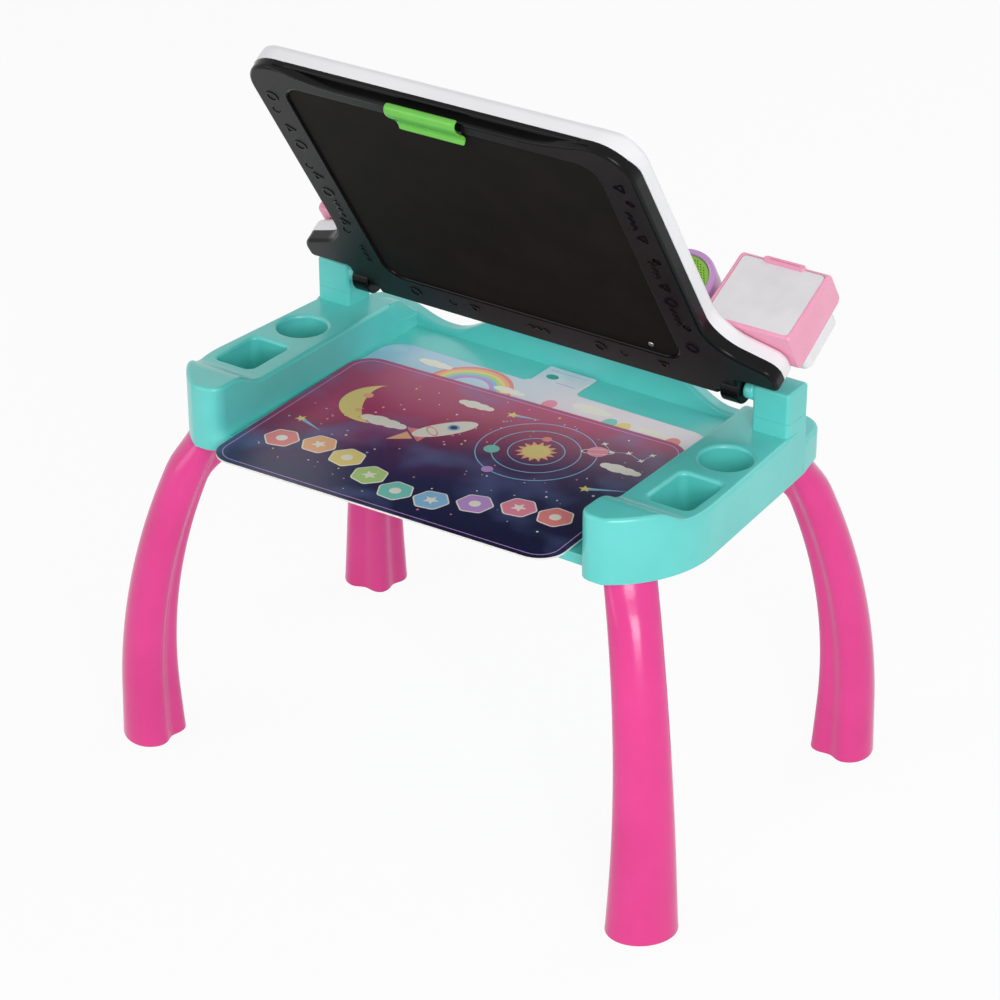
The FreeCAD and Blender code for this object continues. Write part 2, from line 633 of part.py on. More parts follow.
panel = newBody("chalkboard_panel")
panelSketch = newSketch(panel, "XY_Plane", frameBottom + size("board_recess"))
edgeGap = size("seat_clearance")
drawBox(panelSketch, -boardHalf - lap + edgeGap, boardHalf + lap - edgeGap,
        -boardFar - lap + edgeGap, -size("board_rear") + lap - edgeGap,
        size("board_corner") + lap - edgeGap)
pad(panel, panelSketch, size("board_thickness"))
onLid(panel)

# Deck: the white half of the lid, hollow from below, with the page bed on top

deck = newBody("deck_shell")
deckSketch = newSketch(deck, "XY_Plane", frameTop)
deckNotch = -size("knuckle_radius") - size("deck_notch")
drawLoop(deckSketch, lidOutline([
    (knuckleEnd + beyond * 0.1, -earRear), (cheek, deckNotch), (cheek - 1.0, size("lid_rear"))]))
pad(deck, deckSketch, size("deck_depth"))
deckWall = size("deck_wall")
cavityDepth = size("deck_depth") - size("deck_skin")
cavityInset = deckWall + size("cavity_inset")
frontCavity = newSketch(deck, "XY_Plane", frameTop)
drawBox(frontCavity, -lidHalf + cavityInset, lidHalf - cavityInset, -lidFront + cavityInset,
        -earFront + size("cavity_corner"), size("cavity_corner"))
pocket(deck, frontCavity, cavityDepth, back=True)
rearCavity = newSketch(deck, "XY_Plane", frameTop)
drawBox(rearCavity, -cheek + cavityInset, cheek - cavityInset, -earFront - earSlope,
        size("lid_rear") - deckWall)
pocket(deck, rearCavity, cavityDepth, back=True)
bosses = newSketch(deck, "XY_Plane", frameTop)
for x, y in screwSpots:
    drawCircle(bosses, x, y, size("lid_boss_radius"))
pad(deck, bosses, cavityDepth + size("deck_skin") / 2.0)
bossHoles = newSketch(deck, "XY_Plane", frameTop)
for x, y in screwSpots:
    drawCircle(bossHoles, x, y, size("lid_screw_radius") + size("running_fit"))
pocket(deck, bossHoles, size("lid_screw_length") - size("frame_depth") + headDrop + 1.0, back=True)
bed = newSketch(deck, "XY_Plane", deckTop)
bedHalf = lidHalf - size("bed_margin")
bedFront = -lidFront + size("bed_lip")
drawBox(bed, -bedHalf, bedHalf, bedFront, -size("bed_rear"), size("bed_corner"))
pocket(deck, bed, size("bed_depth"))
slot = newSketch(deck, "XY_Plane", deckTop)
slotHalf = (size("switch_travel") + size("switch_stem")) / 2.0 + size("seat_clearance")
stemHalf = size("switch_stem") / 2.0
drawBox(slot, size("switch_x") - slotHalf, size("switch_x") + slotHalf,
        -size("switch_y") - stemHalf - edgeGap, -size("switch_y") + stemHalf + edgeGap)
pocket(deck, slot, size("deck_skin") + 1.0)


def onDeckRim(edge):
    # The upper rim of the lid's front and sides, and not that of the page bed.
    middle = edge.CenterOfMass
    inBed = abs(middle.x) < bedHalf.value + 0.1 and bedFront.value - 0.1 < middle.y
    return levelAt(edge, deckTop.value) and middle.y < -mm("ear_front") and not inBed


roundEdges(deck, size("deck_rounding"), onDeckRim)
onLid(deck)

lidScrews = []
for x, y in screwSpots:
    shank = newCylinder(None, size("lid_screw_radius"), size("lid_screw_length"))
    place(shank, x, y, frameBottom + headSink + headDrop / 2.0)
    head = newCylinder(None, size("lid_screw_head"), headDrop)
    place(head, x, y, frameBottom + headSink)
    screw = doc.addObject("Part::Fuse", "Screw")
    screw.Base = head
    screw.Tool = shank
    lidScrews.append(screw)
lidScrewGroup = keep(doc.addObject("Part::Compound", "Screws"), "frame_screws")
lidScrewGroup.Links = lidScrews
onLid(lidScrewGroup)

touch = newBody("touch_sheet")
cavityTop = deckTop - size("deck_skin")
film = newSketch(touch, "XY_Plane", cavityTop)
filmInset = size("film_inset")
drawBox(film, -bedHalf + filmInset, bedHalf - filmInset, bedFront + filmInset,
        -size("bed_rear") - filmInset)
pad(touch, film, size("film_thickness"), back=True)
onLid(touch)

mainBoard = newBody("main_circuit_board")
mainSketch = newSketch(mainBoard, "XY_Plane", cavityTop)
drawBox(mainSketch, size("board_x"), size("board_x") + size("circuit_length"),
        -size("bed_rear") + size("board_y"), -size("bed_rear") + size("board_y") + size("circuit_breadth"))
pad(mainBoard, mainSketch, size("circuit_thickness"), back=True)
onLid(mainBoard)

# Slide switch on the rear strip of the deck

switch = newBody("power_switch")
stem = newSketch(switch, "XY_Plane", deckTop - size("deck_skin"))
drawBox(stem, size("switch_x") - stemHalf, size("switch_x") + stemHalf,
        -size("switch_y") - stemHalf, -size("switch_y") + stemHalf)
pad(switch, stem, size("deck_skin") + 1.0)
knob = newSketch(switch, "XY_Plane", deckTop + size("seat_clearance"))
knobHalf = size("switch_knob") / 2.0
breadthHalf = size("switch_breadth") / 2.0
drawBox(knob, size("switch_x") - knobHalf, size("switch_x") + knobHalf,
        -size("switch_y") - breadthHalf, -size("switch_y") + breadthHalf, asSize(2.5))
pad(switch, knob, size("switch_height"))
onLid(switch)


# Paper clip on the free edge of the chalkboard side, with its rod and spring

clip = newBody("paper_clip")
plateTop = rodZ - lugRound - size("seat_clearance")
plateLow = plateTop - size("clip_plate")
clipRear = clipFront + size("clip_length")
clipLip = size("clip_lip")
clipJaw = size("clip_jaw")
boardFace = frameBottom + size("board_recess")
profile = newSketch(clip, "YZ_Plane")
jawY = -boardFar + clipJaw
drawLoop(profile, [
    (clipFront + clipJaw, plateLow), (clipRear - clipLip * 2.0, plateLow),
    (clipRear, plateLow - clipLip), (clipRear + clipLip * 0.4, plateLow - clipLip * 0.4),
    (clipRear - clipLip * 0.6, plateTop), (jawY + clipJaw, plateTop),
    (jawY + clipJaw, boardFace - size("seat_clearance")),
    (jawY, boardFace - size("seat_clearance")), (jawY, plateTop),
    (clipFront, plateTop), (clipFront, plateLow + clipJaw / 2.0)])
pad(clip, profile, size("clip_width"), both=True)
clipHalf = size("clip_width") / 2.0
taper = newSketch(clip, "XY_Plane", boardFace)
for sign in (-1.0, 1.0):
    outer = clipHalf * sign
    inside = (clipHalf - size("clip_taper")) * sign
    aside = (clipHalf + beyond) * sign
    wedge = [(outer, rodY + lugHalf), (aside, rodY + lugHalf), (aside, clipRear + clipLip),
             (inside, clipRear + clipLip)]
    drawLoop(taper, wedge if sign > 0 else wedge[::-1])
pocket(clip, taper, boardFace - plateLow + clipLip + beyond)
cheekTop = rodZ + size("clip_rod_radius") + size("clip_lug_wall") / 2.0
for sign in (-1.0, 1.0):
    cheekSketch = newSketch(clip, "YZ_Plane", (clipHalf - size("clip_cheek")) * sign)
    drawLoop(cheekSketch, [
        (rodY - lugHalf, plateTop - clipJaw / 2.0), (rodY + lugHalf, plateTop - clipJaw / 2.0),
        (rodY + lugHalf, cheekTop), (rodY - lugHalf, cheekTop)])
    pad(clip, cheekSketch, size("clip_cheek"), back=sign < 0)
clipBore = newSketch(clip, "YZ_Plane")
drawCircle(clipBore, rodY, rodZ, size("clip_rod_radius") + size("running_fit"))
pocket(clip, clipBore, size("clip_width") + beyond, both=True)
onLid(clip)

rodLength = size("clip_width") - size("clip_cheek")
rod = newCylinder(None, size("clip_rod_radius"), rodLength)
rod.Placement.Rotation = FreeCAD.Rotation(Vector(0, 1, 0), 90.0)
place(rod, -rodLength / 2.0, rodY, rodZ)
rodGroup = keep(doc.addObject("Part::Compound", "Rod"), "clip_rod")
rodGroup.Links = [rod]
onLid(rodGroup)

spring = newBody("clip_spring")
coil = newSketch(spring, "YZ_Plane", -size("clip_spring_length") / 2.0)
drawCircle(coil, rodY, rodZ, size("clip_spring_radius"))
drawCircle(coil, rodY, rodZ, size("clip_rod_radius") + size("running_fit"))
pad(spring, coil, size("clip_spring_length"))
onLid(spring)


# Display box at the right rear of the deck: pink front shell, pale window, white battery pack

displayLeft = size("display_left")
displayRight = displayLeft + size("display_width")
displayTop = deckTop + size("display_height")
displayFront = -size("display_front")
displayRear = -size("display_rear")
border = size("display_border")
bezel = newBody("display_bezel")
sideView = newSketch(bezel, "YZ_Plane", displayLeft)
leanBack = size("display_lean")
underCut = size("display_chin")
drawLoop(sideView, [
    (displayFront + underCut, deckTop), (displayRear, deckTop), (displayRear, displayTop),
    (displayFront + leanBack, displayTop), (displayFront, deckTop + underCut)])
pad(bezel, sideView, size("display_width"))
displayWall = size("display_wall")
inside = newSketch(bezel, "YZ_Plane", displayLeft + displayWall)
glassBack = size("window_thickness") + size("seat_clearance")
drawLoop(inside, [
    (displayFront + underCut + displayWall, deckTop + displayWall),
    (displayRear - displayWall, deckTop + displayWall),
    (displayRear - displayWall, displayTop - displayWall),
    (displayFront + leanBack + displayWall + glassBack, displayTop - displayWall),
    (displayFront + displayWall + glassBack, deckTop + underCut + displayWall)])
pocket(bezel, inside, size("display_width") - displayWall * 2.0, back=True)
opening = newSketch(bezel, "XZ_Plane", -displayFront + beyond)
drawBox(opening, displayLeft + border, displayRight - border, deckTop + underCut + displayWall,
        displayTop - border, size("window_corner"))
pocket(bezel, opening, leanBack + displayWall + glassBack + beyond)
roundEdges(bezel, size("display_rounding"), lambda edge: levelAt(edge, displayTop.value)
           and edge.Length > mm("display_width") / 2.0)
onLid(bezel)

glass = newBody("display_panel")
slack = size("running_fit")
glassSide = newSketch(glass, "YZ_Plane", displayLeft + border + slack)
glassLow = deckTop + underCut + displayWall + slack
glassHigh = displayTop - border - slack
leanRate = leanBack / (displayTop - deckTop - underCut)
lowFace = displayFront + (glassLow - deckTop - underCut) * leanRate + size("window_sink")
highFace = displayFront + (glassHigh - deckTop - underCut) * leanRate + size("window_sink")
glassDepth = size("window_thickness")
drawLoop(glassSide, [
    (lowFace, glassLow), (lowFace + glassDepth, glassLow),
    (highFace + glassDepth, glassHigh), (highFace, glassHigh)])
pad(glass, glassSide, size("display_width") - border * 2.0 - slack * 2.0)
roundEdges(glass, size("window_corner") - slack, lambda edge: edge.Length < mm("window_thickness") + 0.01)
onLid(glass)

ledBoard = newBody("display_circuit_board")
ledSketch = newSketch(ledBoard, "XZ_Plane", -displayRear + displayWall)
drawBox(ledSketch, displayLeft + border, displayRight - border, deckTop + border, displayTop - border)
pad(ledBoard, ledSketch, size("circuit_thickness"))
onLid(ledBoard)

packShell = newBody("display_rear_shell")
packLeft = displayLeft + size("pack_inset")
packRight = displayRight - size("pack_inset")
packLow = deckTop + size("pack_low")
packHigh = deckTop + size("pack_high")
packRear = size("pack_rear")
packSketch = newSketch(packShell, "XZ_Plane", -displayRear)
drawBox(packSketch, packLeft, packRight, packLow, packHigh, size("pack_corner"))
pad(packShell, packSketch, packRear - displayRear, back=True)
doorMiddleX = displayLeft + size("display_width") / 2.0
doorMiddleZ = (packLow + packHigh) / 2.0
doorHalfX = size("door_width") / 2.0
doorHalfZ = size("door_height") / 2.0
doorSeat = newSketch(packShell, "XZ_Plane", -packRear)
drawBox(doorSeat, doorMiddleX - doorHalfX, doorMiddleX + doorHalfX, doorMiddleZ - doorHalfZ,
        doorMiddleZ + doorHalfZ, size("door_corner"))
pocket(packShell, doorSeat, size("door_thickness"), back=True)
cells = newSketch(packShell, "XZ_Plane", -packRear)
cellHalf = size("cell_length") / 2.0 + 4.0
cellStack = size("cell_pitch") * 1.5 + 0.5
drawBox(cells, doorMiddleX - cellHalf, doorMiddleX + cellHalf, doorMiddleZ - cellStack,
        doorMiddleZ + cellStack)
cellDepth = size("cell_radius") * 2.0 + 1.0
pocket(packShell, cells, size("door_thickness") + cellDepth, back=True)
screwSeat = newSketch(packShell, "XZ_Plane", -packRear)
doorScrewX = doorMiddleX + size("door_screw_x")
drawCircle(screwSeat, doorScrewX, doorMiddleZ, size("lid_screw_radius") + slack)
pocket(packShell, screwSeat, asSize(12.0), back=True)
onLid(packShell)

door = newBody("battery_door")
doorSketch = newSketch(door, "XZ_Plane", -packRear)
fitGap = size("seat_clearance")
drawBox(doorSketch, doorMiddleX - doorHalfX + fitGap, doorMiddleX + doorHalfX - fitGap,
        doorMiddleZ - doorHalfZ + fitGap, doorMiddleZ + doorHalfZ - fitGap, size("door_corner") - fitGap)
pad(door, doorSketch, size("door_thickness"))
doorHole = newSketch(door, "XZ_Plane", -packRear)
drawCircle(doorHole, doorScrewX, doorMiddleZ, size("lid_screw_radius") + slack)
pocket(door, doorHole, size("door_thickness") + 1.0, back=True)
onLid(door)

doorShank = newCylinder(None, size("lid_screw_radius"), asSize(10.0))
doorShank.Placement.Rotation = FreeCAD.Rotation(Vector(1, 0, 0), 90.0)
place(doorShank, doorScrewX, packRear + 0.5, doorMiddleZ)
doorHead = newCylinder(None, asSize(2.8), asSize(1.6))
doorHead.Placement.Rotation = FreeCAD.Rotation(Vector(1, 0, 0), 90.0)
place(doorHead, doorScrewX, packRear + 1.6, doorMiddleZ)
doorScrew = doc.addObject("Part::Fuse", "Screw")
doorScrew.Base = doorShank
doorScrew.Tool = doorHead
doorScrewGroup = keep(doc.addObject("Part::Compound", "Screws"), "battery_door_screw")
doorScrewGroup.Links = [doorScrew]
onLid(doorScrewGroup)

cellItems = []
cellFloor = packRear - size("door_thickness") - cellDepth
for index in (-1.0, 0.0, 1.0):
    cellItem = newCylinder(None, size("cell_radius"), size("cell_length"))
    cellItem.Placement.Rotation = FreeCAD.Rotation(Vector(0, 1, 0), 90.0)
    place(cellItem, doorMiddleX - size("cell_length") / 2.0, cellFloor + size("cell_radius"),
          doorMiddleZ + size("cell_pitch") * index)
    cellItems.append(cellItem)
cellGroup = keep(doc.addObject("Part::Compound", "Cells"), "batteries")
cellGroup.Links = cellItems
onLid(cellGroup)

contactItems = []
for start in (doorMiddleX - cellHalf, doorMiddleX + size("cell_length") / 2.0):
    plate = newBox(asSize(4.0), size("cell_radius"), size("cell_pitch") * 3.0)
    place(plate, start, cellFloor, doorMiddleZ - size("cell_pitch") * 1.5)
    contactItems.append(plate)
contactGroup = keep(doc.addObject("Part::Compound", "Contacts"), "battery_contacts")
contactGroup.Links = contactItems
onLid(contactGroup)


# Speaker: purple arch with a green grille, and the driver behind it

def archLoop(half, top, bottom):
    middle = size("speaker_x")
    return [(middle - half, bottom), (middle + half, bottom),
            (middle + half, top - half, half * quarterBow),
            (middle, top, half * quarterBow), (middle - half, top - half)]


speakerFront = size("speaker_front")
speakerTop = deckTop + size("speaker_height")
speakerHalf = size("speaker_half")
ring = size("speaker_ring")
grilleHalf = speakerHalf - ring
arch = newBody("speaker_bezel")
archSketch = newSketch(arch, "XZ_Plane", speakerFront)
drawLoop(archSketch, archLoop(speakerHalf, speakerTop, deckTop))
pad(arch, archSketch, size("speaker_depth"), back=True)
grilleSeat = newSketch(arch, "XZ_Plane", speakerFront)
drawLoop(grilleSeat, archLoop(grilleHalf, speakerTop - ring, deckTop + ring))
pocket(arch, grilleSeat, size("grille_thickness"))
driverRoom = newSketch(arch, "XZ_Plane", speakerFront)
driverZ = speakerTop - ring - grilleHalf
drawCircle(driverRoom, size("speaker_x"), driverZ, size("driver_radius") + size("running_fit"))
pocket(arch, driverRoom, size("grille_thickness") + size("driver_depth"))
onLid(arch)

grille = newBody("speaker_grille")
grilleSketch = newSketch(grille, "XZ_Plane", speakerFront)
drawLoop(grilleSketch, archLoop(grilleHalf - size("running_fit"), speakerTop - ring - size("running_fit"),
                                deckTop + ring + size("running_fit")))
pad(grille, grilleSketch, size("grille_thickness"), back=True)
onLid(grille)

driver = newBody("speaker_driver")
driverSketch = newSketch(driver, "XZ_Plane", speakerFront - size("grille_thickness"))
drawCircle(driverSketch, size("speaker_x"), driverZ, size("driver_radius"))
pad(driver, driverSketch, size("driver_depth"), back=True)
onLid(driver)


# Toy phone at the left rear of the deck: a cradle, the handset and its ear and mouth covers

phoneLeft = -size("phone_left")
phoneRight = phoneLeft + size("phone_length")
phoneMiddleY = -size("phone_front") + size("phone_width") / 2.0
cradleTop = deckTop + size("cradle_height")
phoneLow = cradleTop + size("seat_clearance")
phoneHigh = phoneLow + size("phone_height")
handset = newBody("phone_handset")
handsetSide = newSketch(handset, "XZ_Plane", -phoneMiddleY)
endLength = size("phone_end")
archRise = size("phone_arch")
drawLoop(handsetSide, [
    (phoneLeft + 4.0, phoneLow), (phoneLeft + endLength, phoneLow),
    (phoneLeft + endLength + 8.0, phoneLow + archRise), (phoneRight - endLength - 8.0, phoneLow + archRise),
    (phoneRight - endLength, phoneLow), (phoneRight - 4.0, phoneLow),
    (phoneRight, phoneLow + 5.0), (phoneRight, phoneHigh - 12.0, 3.0),
    (phoneRight - 14.0, phoneHigh - 4.0, 3.0), (phoneLeft + 14.0, phoneHigh - 4.0, 3.0),
    (phoneLeft, phoneHigh - 12.0), (phoneLeft, phoneLow + 5.0)])
pad(handset, handsetSide, size("phone_width"), both=True)
coverSeat = newSketch(handset, "XY_Plane", phoneLow)
coverSpots = (phoneLeft + endLength / 2.0 + 1.0, phoneRight - endLength / 2.0 - 1.0)
coverRadius = size("phone_end") / 2.0 - 6.0
for x in coverSpots:
    drawCircle(coverSeat, x, phoneMiddleY, coverRadius)
pocket(handset, coverSeat, size("phone_cover"), back=True)
onLid(handset)

coverItems = []
for x in coverSpots:
    disc = newCylinder(None, coverRadius - size("running_fit"), size("phone_cover"))
    place(disc, x, phoneMiddleY, phoneLow)
    coverItems.append(disc)
coverGroup = keep(doc.addObject("Part::Compound", "Covers"), "phone_ear_covers")
coverGroup.Links = coverItems
onLid(coverGroup)

cradle = newBody("phone_cradle")
cradleBase = newSketch(cradle, "XY_Plane", deckTop)
padHalf = size("cradle_pad") / 2.0
for x in coverSpots:
    drawBox(cradleBase, x - padHalf, x + padHalf, phoneMiddleY - padHalf + 3.0, phoneMiddleY + padHalf - 3.0,
            asSize(4.0))
pad(cradle, cradleBase, size("cradle_height"))
cradleBar = newSketch(cradle, "XY_Plane", deckTop)
drawBox(cradleBar, coverSpots[0], coverSpots[1], phoneMiddleY - size("cradle_bar") / 2.0,
        phoneMiddleY + size("cradle_bar") / 2.0)
pad(cradle, cradleBar, size("cradle_height"))
onLid(cradle)


# Activity pages: thick printed sheets lying one on the other on the tray's floor

secondLow = size("bin_floor") + size("seat_clearance")
topLow = secondLow + size("page_thickness") + size("seat_clearance")
halfPage = size("page_width") / 2.0
halfPageLength = size("page_length") / 2.0
pageCorner = size("page_corner")

topPage = newBody("activity_page_top")
topSketch = newSketch(topPage, "XY_Plane")
drawBox(topSketch, -halfPage, halfPage, -halfPageLength, halfPageLength, pageCorner)
pad(topPage, topSketch, size("page_thickness"))
topPage.Placement = FreeCAD.Placement(
    Vector(-mm("top_page_x"), -mm("top_page_y"), topLow.value),
    FreeCAD.Rotation(Vector(0, 0, 1), mm("page_turn")))
for axis, link in zip("xyz", (-size("top_page_x"), -size("top_page_y"), topLow)):
    topPage.setExpression(f"Placement.Base.{axis}", link.text)
topPage.setExpression("Placement.Rotation.Angle", "Sizes.page_turn")

secondPage = newBody("activity_page_second")
secondSketch = newSketch(secondPage, "XY_Plane")
tabHalf = size("page_tab") / 2.0
tabReach = size("page_tab_reach")
pageBow = pageCorner * quarterBow
drawLoop(secondSketch, [
    (-halfPage + pageCorner, -halfPageLength), (halfPage - pageCorner, -halfPageLength, pageBow),
    (halfPage, -halfPageLength + pageCorner), (halfPage, halfPageLength - pageCorner, pageBow),
    (halfPage - pageCorner, halfPageLength), (tabHalf + 6.0, halfPageLength),
    (tabHalf, halfPageLength + 6.0), (tabHalf, halfPageLength + tabReach),
    (-tabHalf, halfPageLength + tabReach), (-tabHalf, halfPageLength + 6.0),
    (-tabHalf - 6.0, halfPageLength), (-halfPage + pageCorner, halfPageLength, pageBow),
    (-halfPage, halfPageLength - pageCorner), (-halfPage, -halfPageLength + pageCorner, pageBow)])
pad(secondPage, secondSketch, size("page_thickness"))
place(secondPage, -size("second_page_x"), size("second_page_rear") - halfPageLength, secondLow)


# Every object has to be sound before anything is written

doc.recompute()
faults = []
for item in doc.Objects:
    if any(state in ("Invalid", "Error") for state in item.State):
        faults.append(f"{item.Name} of {item.Label}: {item.State}")
for item in parts:
    if item.Shape.isNull() or not item.Shape.isValid():
        faults.append(f"{item.Label}: shape not sound")
    elif item.Shape.Volume <= 0:
        faults.append(f"{item.Label}: no volume")
if faults:
    raise RuntimeError("\n".join(faults))

os.makedirs("parts", exist_ok=True)
for item in parts:
    item.Shape.exportStep(f"parts/{item.Label}.step")
    box = item.Shape.BoundBox
    print(f"{item.Label}: {len(item.Shape.Solids)} solids, {item.Shape.Volume / 1000:.1f} cm3, "
          f"x {box.XMin:.1f} {box.XMax:.1f} y {box.YMin:.1f} {box.YMax:.1f} z {box.ZMin:.1f} {box.ZMax:.1f}")
print(len(parts), "pieces")
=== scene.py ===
import math
import random

import bmesh
import bpy
from mathutils import Matrix, Vector


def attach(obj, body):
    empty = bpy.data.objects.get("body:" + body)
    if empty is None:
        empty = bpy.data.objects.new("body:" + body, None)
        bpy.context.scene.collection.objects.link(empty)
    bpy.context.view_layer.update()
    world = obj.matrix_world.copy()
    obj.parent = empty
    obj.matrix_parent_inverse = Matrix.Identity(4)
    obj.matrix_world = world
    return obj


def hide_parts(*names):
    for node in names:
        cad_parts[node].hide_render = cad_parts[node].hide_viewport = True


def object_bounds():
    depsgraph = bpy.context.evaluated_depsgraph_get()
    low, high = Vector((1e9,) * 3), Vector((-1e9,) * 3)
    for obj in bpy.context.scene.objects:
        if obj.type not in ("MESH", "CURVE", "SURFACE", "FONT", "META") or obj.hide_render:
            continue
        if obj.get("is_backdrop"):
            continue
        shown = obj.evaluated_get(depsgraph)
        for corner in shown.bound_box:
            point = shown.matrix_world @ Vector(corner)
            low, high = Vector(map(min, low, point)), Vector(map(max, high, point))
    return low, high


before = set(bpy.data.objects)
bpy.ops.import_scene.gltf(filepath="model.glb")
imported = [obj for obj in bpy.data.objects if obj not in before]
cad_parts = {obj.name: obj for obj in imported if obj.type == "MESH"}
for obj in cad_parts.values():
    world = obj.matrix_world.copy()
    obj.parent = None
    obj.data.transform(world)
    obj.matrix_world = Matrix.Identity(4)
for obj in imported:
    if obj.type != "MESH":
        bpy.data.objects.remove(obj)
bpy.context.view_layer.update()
scene = bpy.context.scene
scene.view_settings.view_transform = "Standard"
print("frame loaded:", len(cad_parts), "nodes")

# All piece sizes below are in millimetres; settle() turns them to metres.
metre = 0.001
creaseAngle = math.radians(32)
draws = random.Random(11)


def turned(degrees, axis="Z"):
    return Matrix.Rotation(math.radians(degrees), 4, axis)


# The lid is drawn lying shut, x to the right, y towards the hinge, z up, and then opened about its hinge
lid = {"hinge": (0, 86.4, 438.0), "opening": -57.26}
lidPlace = Matrix.Translation(lid["hinge"]) @ turned(lid["opening"], "X")
flat = Matrix.Identity(4)
sideways = Matrix(((0, 0, 1, 0), (1, 0, 0, 0), (0, 1, 0, 0), (0, 0, 0, 1)))  # drawn y, z and pulled along x
upright = turned(90, "X")  # drawn x, z and pulled towards the front
flipped = Matrix.Scale(-1, 4, (0, 0, 1))  # drawn face up, for the board side of the lid


def linear(hexCode):
    parts = [int(hexCode[place:place + 2], 16) / 255 for place in (0, 2, 4)]
    return [part / 12.92 if part <= 0.04045 else ((part + 0.055) / 1.055) ** 2.4 for part in parts] + [1.0]


def addNode(tree, kind, sockets=None, **settings):
    node = tree.nodes.new("ShaderNode" + kind)
    for name, value in settings.items():
        setattr(node, name, value)
    for name, value in (sockets or {}).items():
        if isinstance(value, bpy.types.NodeSocket):
            tree.links.new(value, node.inputs[name])
        else:
            node.inputs[name].default_value = value
    return node


def colourStops(ramp, stops):
    while len(ramp.elements) < len(stops):
        ramp.elements.new(1.0)
    for element, (place, hexCode) in zip(ramp.elements, stops):
        element.position = place
        element.color = linear(hexCode)


surface = {"coatRoughness": 0.12, "polishSpread": 0.06, "reliefShare": 0.3}


def newMaterial(name, look):
    # a shader with its fixed sockets set, and the piece's own coordinates
    material = bpy.data.materials.new(name)
    material.use_nodes = True
    shader = material.node_tree.nodes["Principled BSDF"]
    fixed = {"IOR": look["ior"], "Metallic": look.get("metal", 0.0), "Coat Weight": look.get("coat", 0.0),
             "Specular IOR Level": look.get("specular", 0.5), "Coat Roughness": surface["coatRoughness"]}
    for socket, value in fixed.items():
        shader.inputs[socket].default_value = value
    space = addNode(material.node_tree, "TexCoord").outputs["Object"]
    return material, material.node_tree, shader, space


def grainOn(tree, shader, space, look):
    # fine mould grain: a little uneven polish and relief
    size, roughness, spread = look["grain"] * metre, look["roughness"], surface["polishSpread"]
    grain = addNode(tree, "TexNoise", {"Vector": space, "Scale": 1 / size, "Detail": 2.0}).outputs["Fac"]
    polish = addNode(tree, "MapRange", {
        "Value": grain, "To Min": roughness - spread, "To Max": roughness + spread})
    relief = addNode(tree, "Bump", {
        "Height": grain, "Strength": look["relief"], "Distance": size * surface["reliefShare"]})
    tree.links.new(polish.outputs["Result"], shader.inputs["Roughness"])
    tree.links.new(relief.outputs["Normal"], shader.inputs["Normal"])


def moulded(name, look):
    material, tree, shader, space = newMaterial(name, look)
    flow = addNode(tree, "TexNoise", {"Vector": space, "Scale": 1 / (look["flow"] * metre), "Detail": 3.0})
    tone = addNode(tree, "ValToRGB", {"Fac": flow.outputs["Fac"]})
    colourStops(tone.color_ramp, [(0.3, look["shade"]), (0.7, look["colour"])])
    tree.links.new(tone.outputs["Color"], shader.inputs["Base Color"])
    grainOn(tree, shader, space, look)
    return material


# Polypropylene, moulded with a fine satin grain: soft wide highlights and a slightly milky teal
tealPolypropylene = moulded("tealPolypropylene", dict(
    colour="64D6D0", shade="5BCDC7", roughness=0.36, ior=1.49, flow=70, grain=1.1, relief=0.06, coat=0.3))
# Polypropylene legs, blow-moulded and glossy: long narrow streaks of light down the curve
pinkPolypropylene = moulded("pinkPolypropylene", dict(
    colour="EA3C94", shade="E0348A", roughness=0.2, ior=1.49, flow=90, grain=1.6, relief=0.05))
# Black ABS from a polished mould, on the frame's rims and marks: deep, with bright thin edge lights
blackAbs = moulded("blackAbs", dict(
    colour="0B0B0C", shade="08080A", roughness=0.22, ior=1.54, flow=60, grain=1.0, relief=0.04,
    specular=0.14))
# The same ABS spark-eroded on the frame's border: a greyer, matt black
grainedAbs = moulded("grainedAbs", dict(
    colour="1B1B1B", shade="151515", roughness=0.5, ior=1.54, flow=60, grain=1.2, relief=0.14,
    specular=0.25))
# Chalkboard film: matt, slightly dusty black that scatters light
chalkFilm = moulded("chalkFilm", dict(
    colour="17130F", shade="0F0D0A", roughness=0.78, ior=1.45, flow=45, grain=0.9, relief=0.15,
    specular=0.2))
# White ABS shell: clean, satin, faintly cool
whiteAbs = moulded("whiteAbs", dict(
    colour="F5F5F7", shade="EFEFF2", roughness=0.32, ior=1.54, flow=80, grain=1.0, relief=0.04))
# Green ABS clip: bright and glossy, so its trough and roll carry sharp lights
greenAbs = moulded("greenAbs", dict(
    colour="6CC644", shade="62BC3C", roughness=0.22, ior=1.54, flow=30, grain=0.9, relief=0.03))
# Pale pink ABS of the display and handset: glossy, light, warm
rosePlastic = moulded("rosePlastic", dict(
    colour="F7A8C4", shade="F4A0BE", roughness=0.26, ior=1.54, flow=40, grain=0.9, relief=0.03))
# The same plastic with more pigment, for buttons and ear covers
deepRose = moulded("deepRose", dict(
    colour="E77DA5", shade="E2749E", roughness=0.3, ior=1.54, flow=40, grain=0.9, relief=0.03))
# Frosted acrylic window: pale grey with a soft sheen over it
frostedAcrylic = moulded("frostedAcrylic", dict(
    colour="ECEAEC", shade="E4E2E5", roughness=0.3, ior=1.49, flow=25, grain=0.7, relief=0.03, coat=0.5))
# Lilac ABS arch round the speaker: satin
lilacAbs = moulded("lilacAbs", dict(
    colour="C79BD0", shade="C092CA", roughness=0.3, ior=1.54, flow=35, grain=0.9, relief=0.03))
# Lime polypropylene grille
limePolypropylene = moulded("limePolypropylene", dict(
    colour="8CC63F", shade="82BC36", roughness=0.35, ior=1.49, flow=25, grain=0.8, relief=0.05))
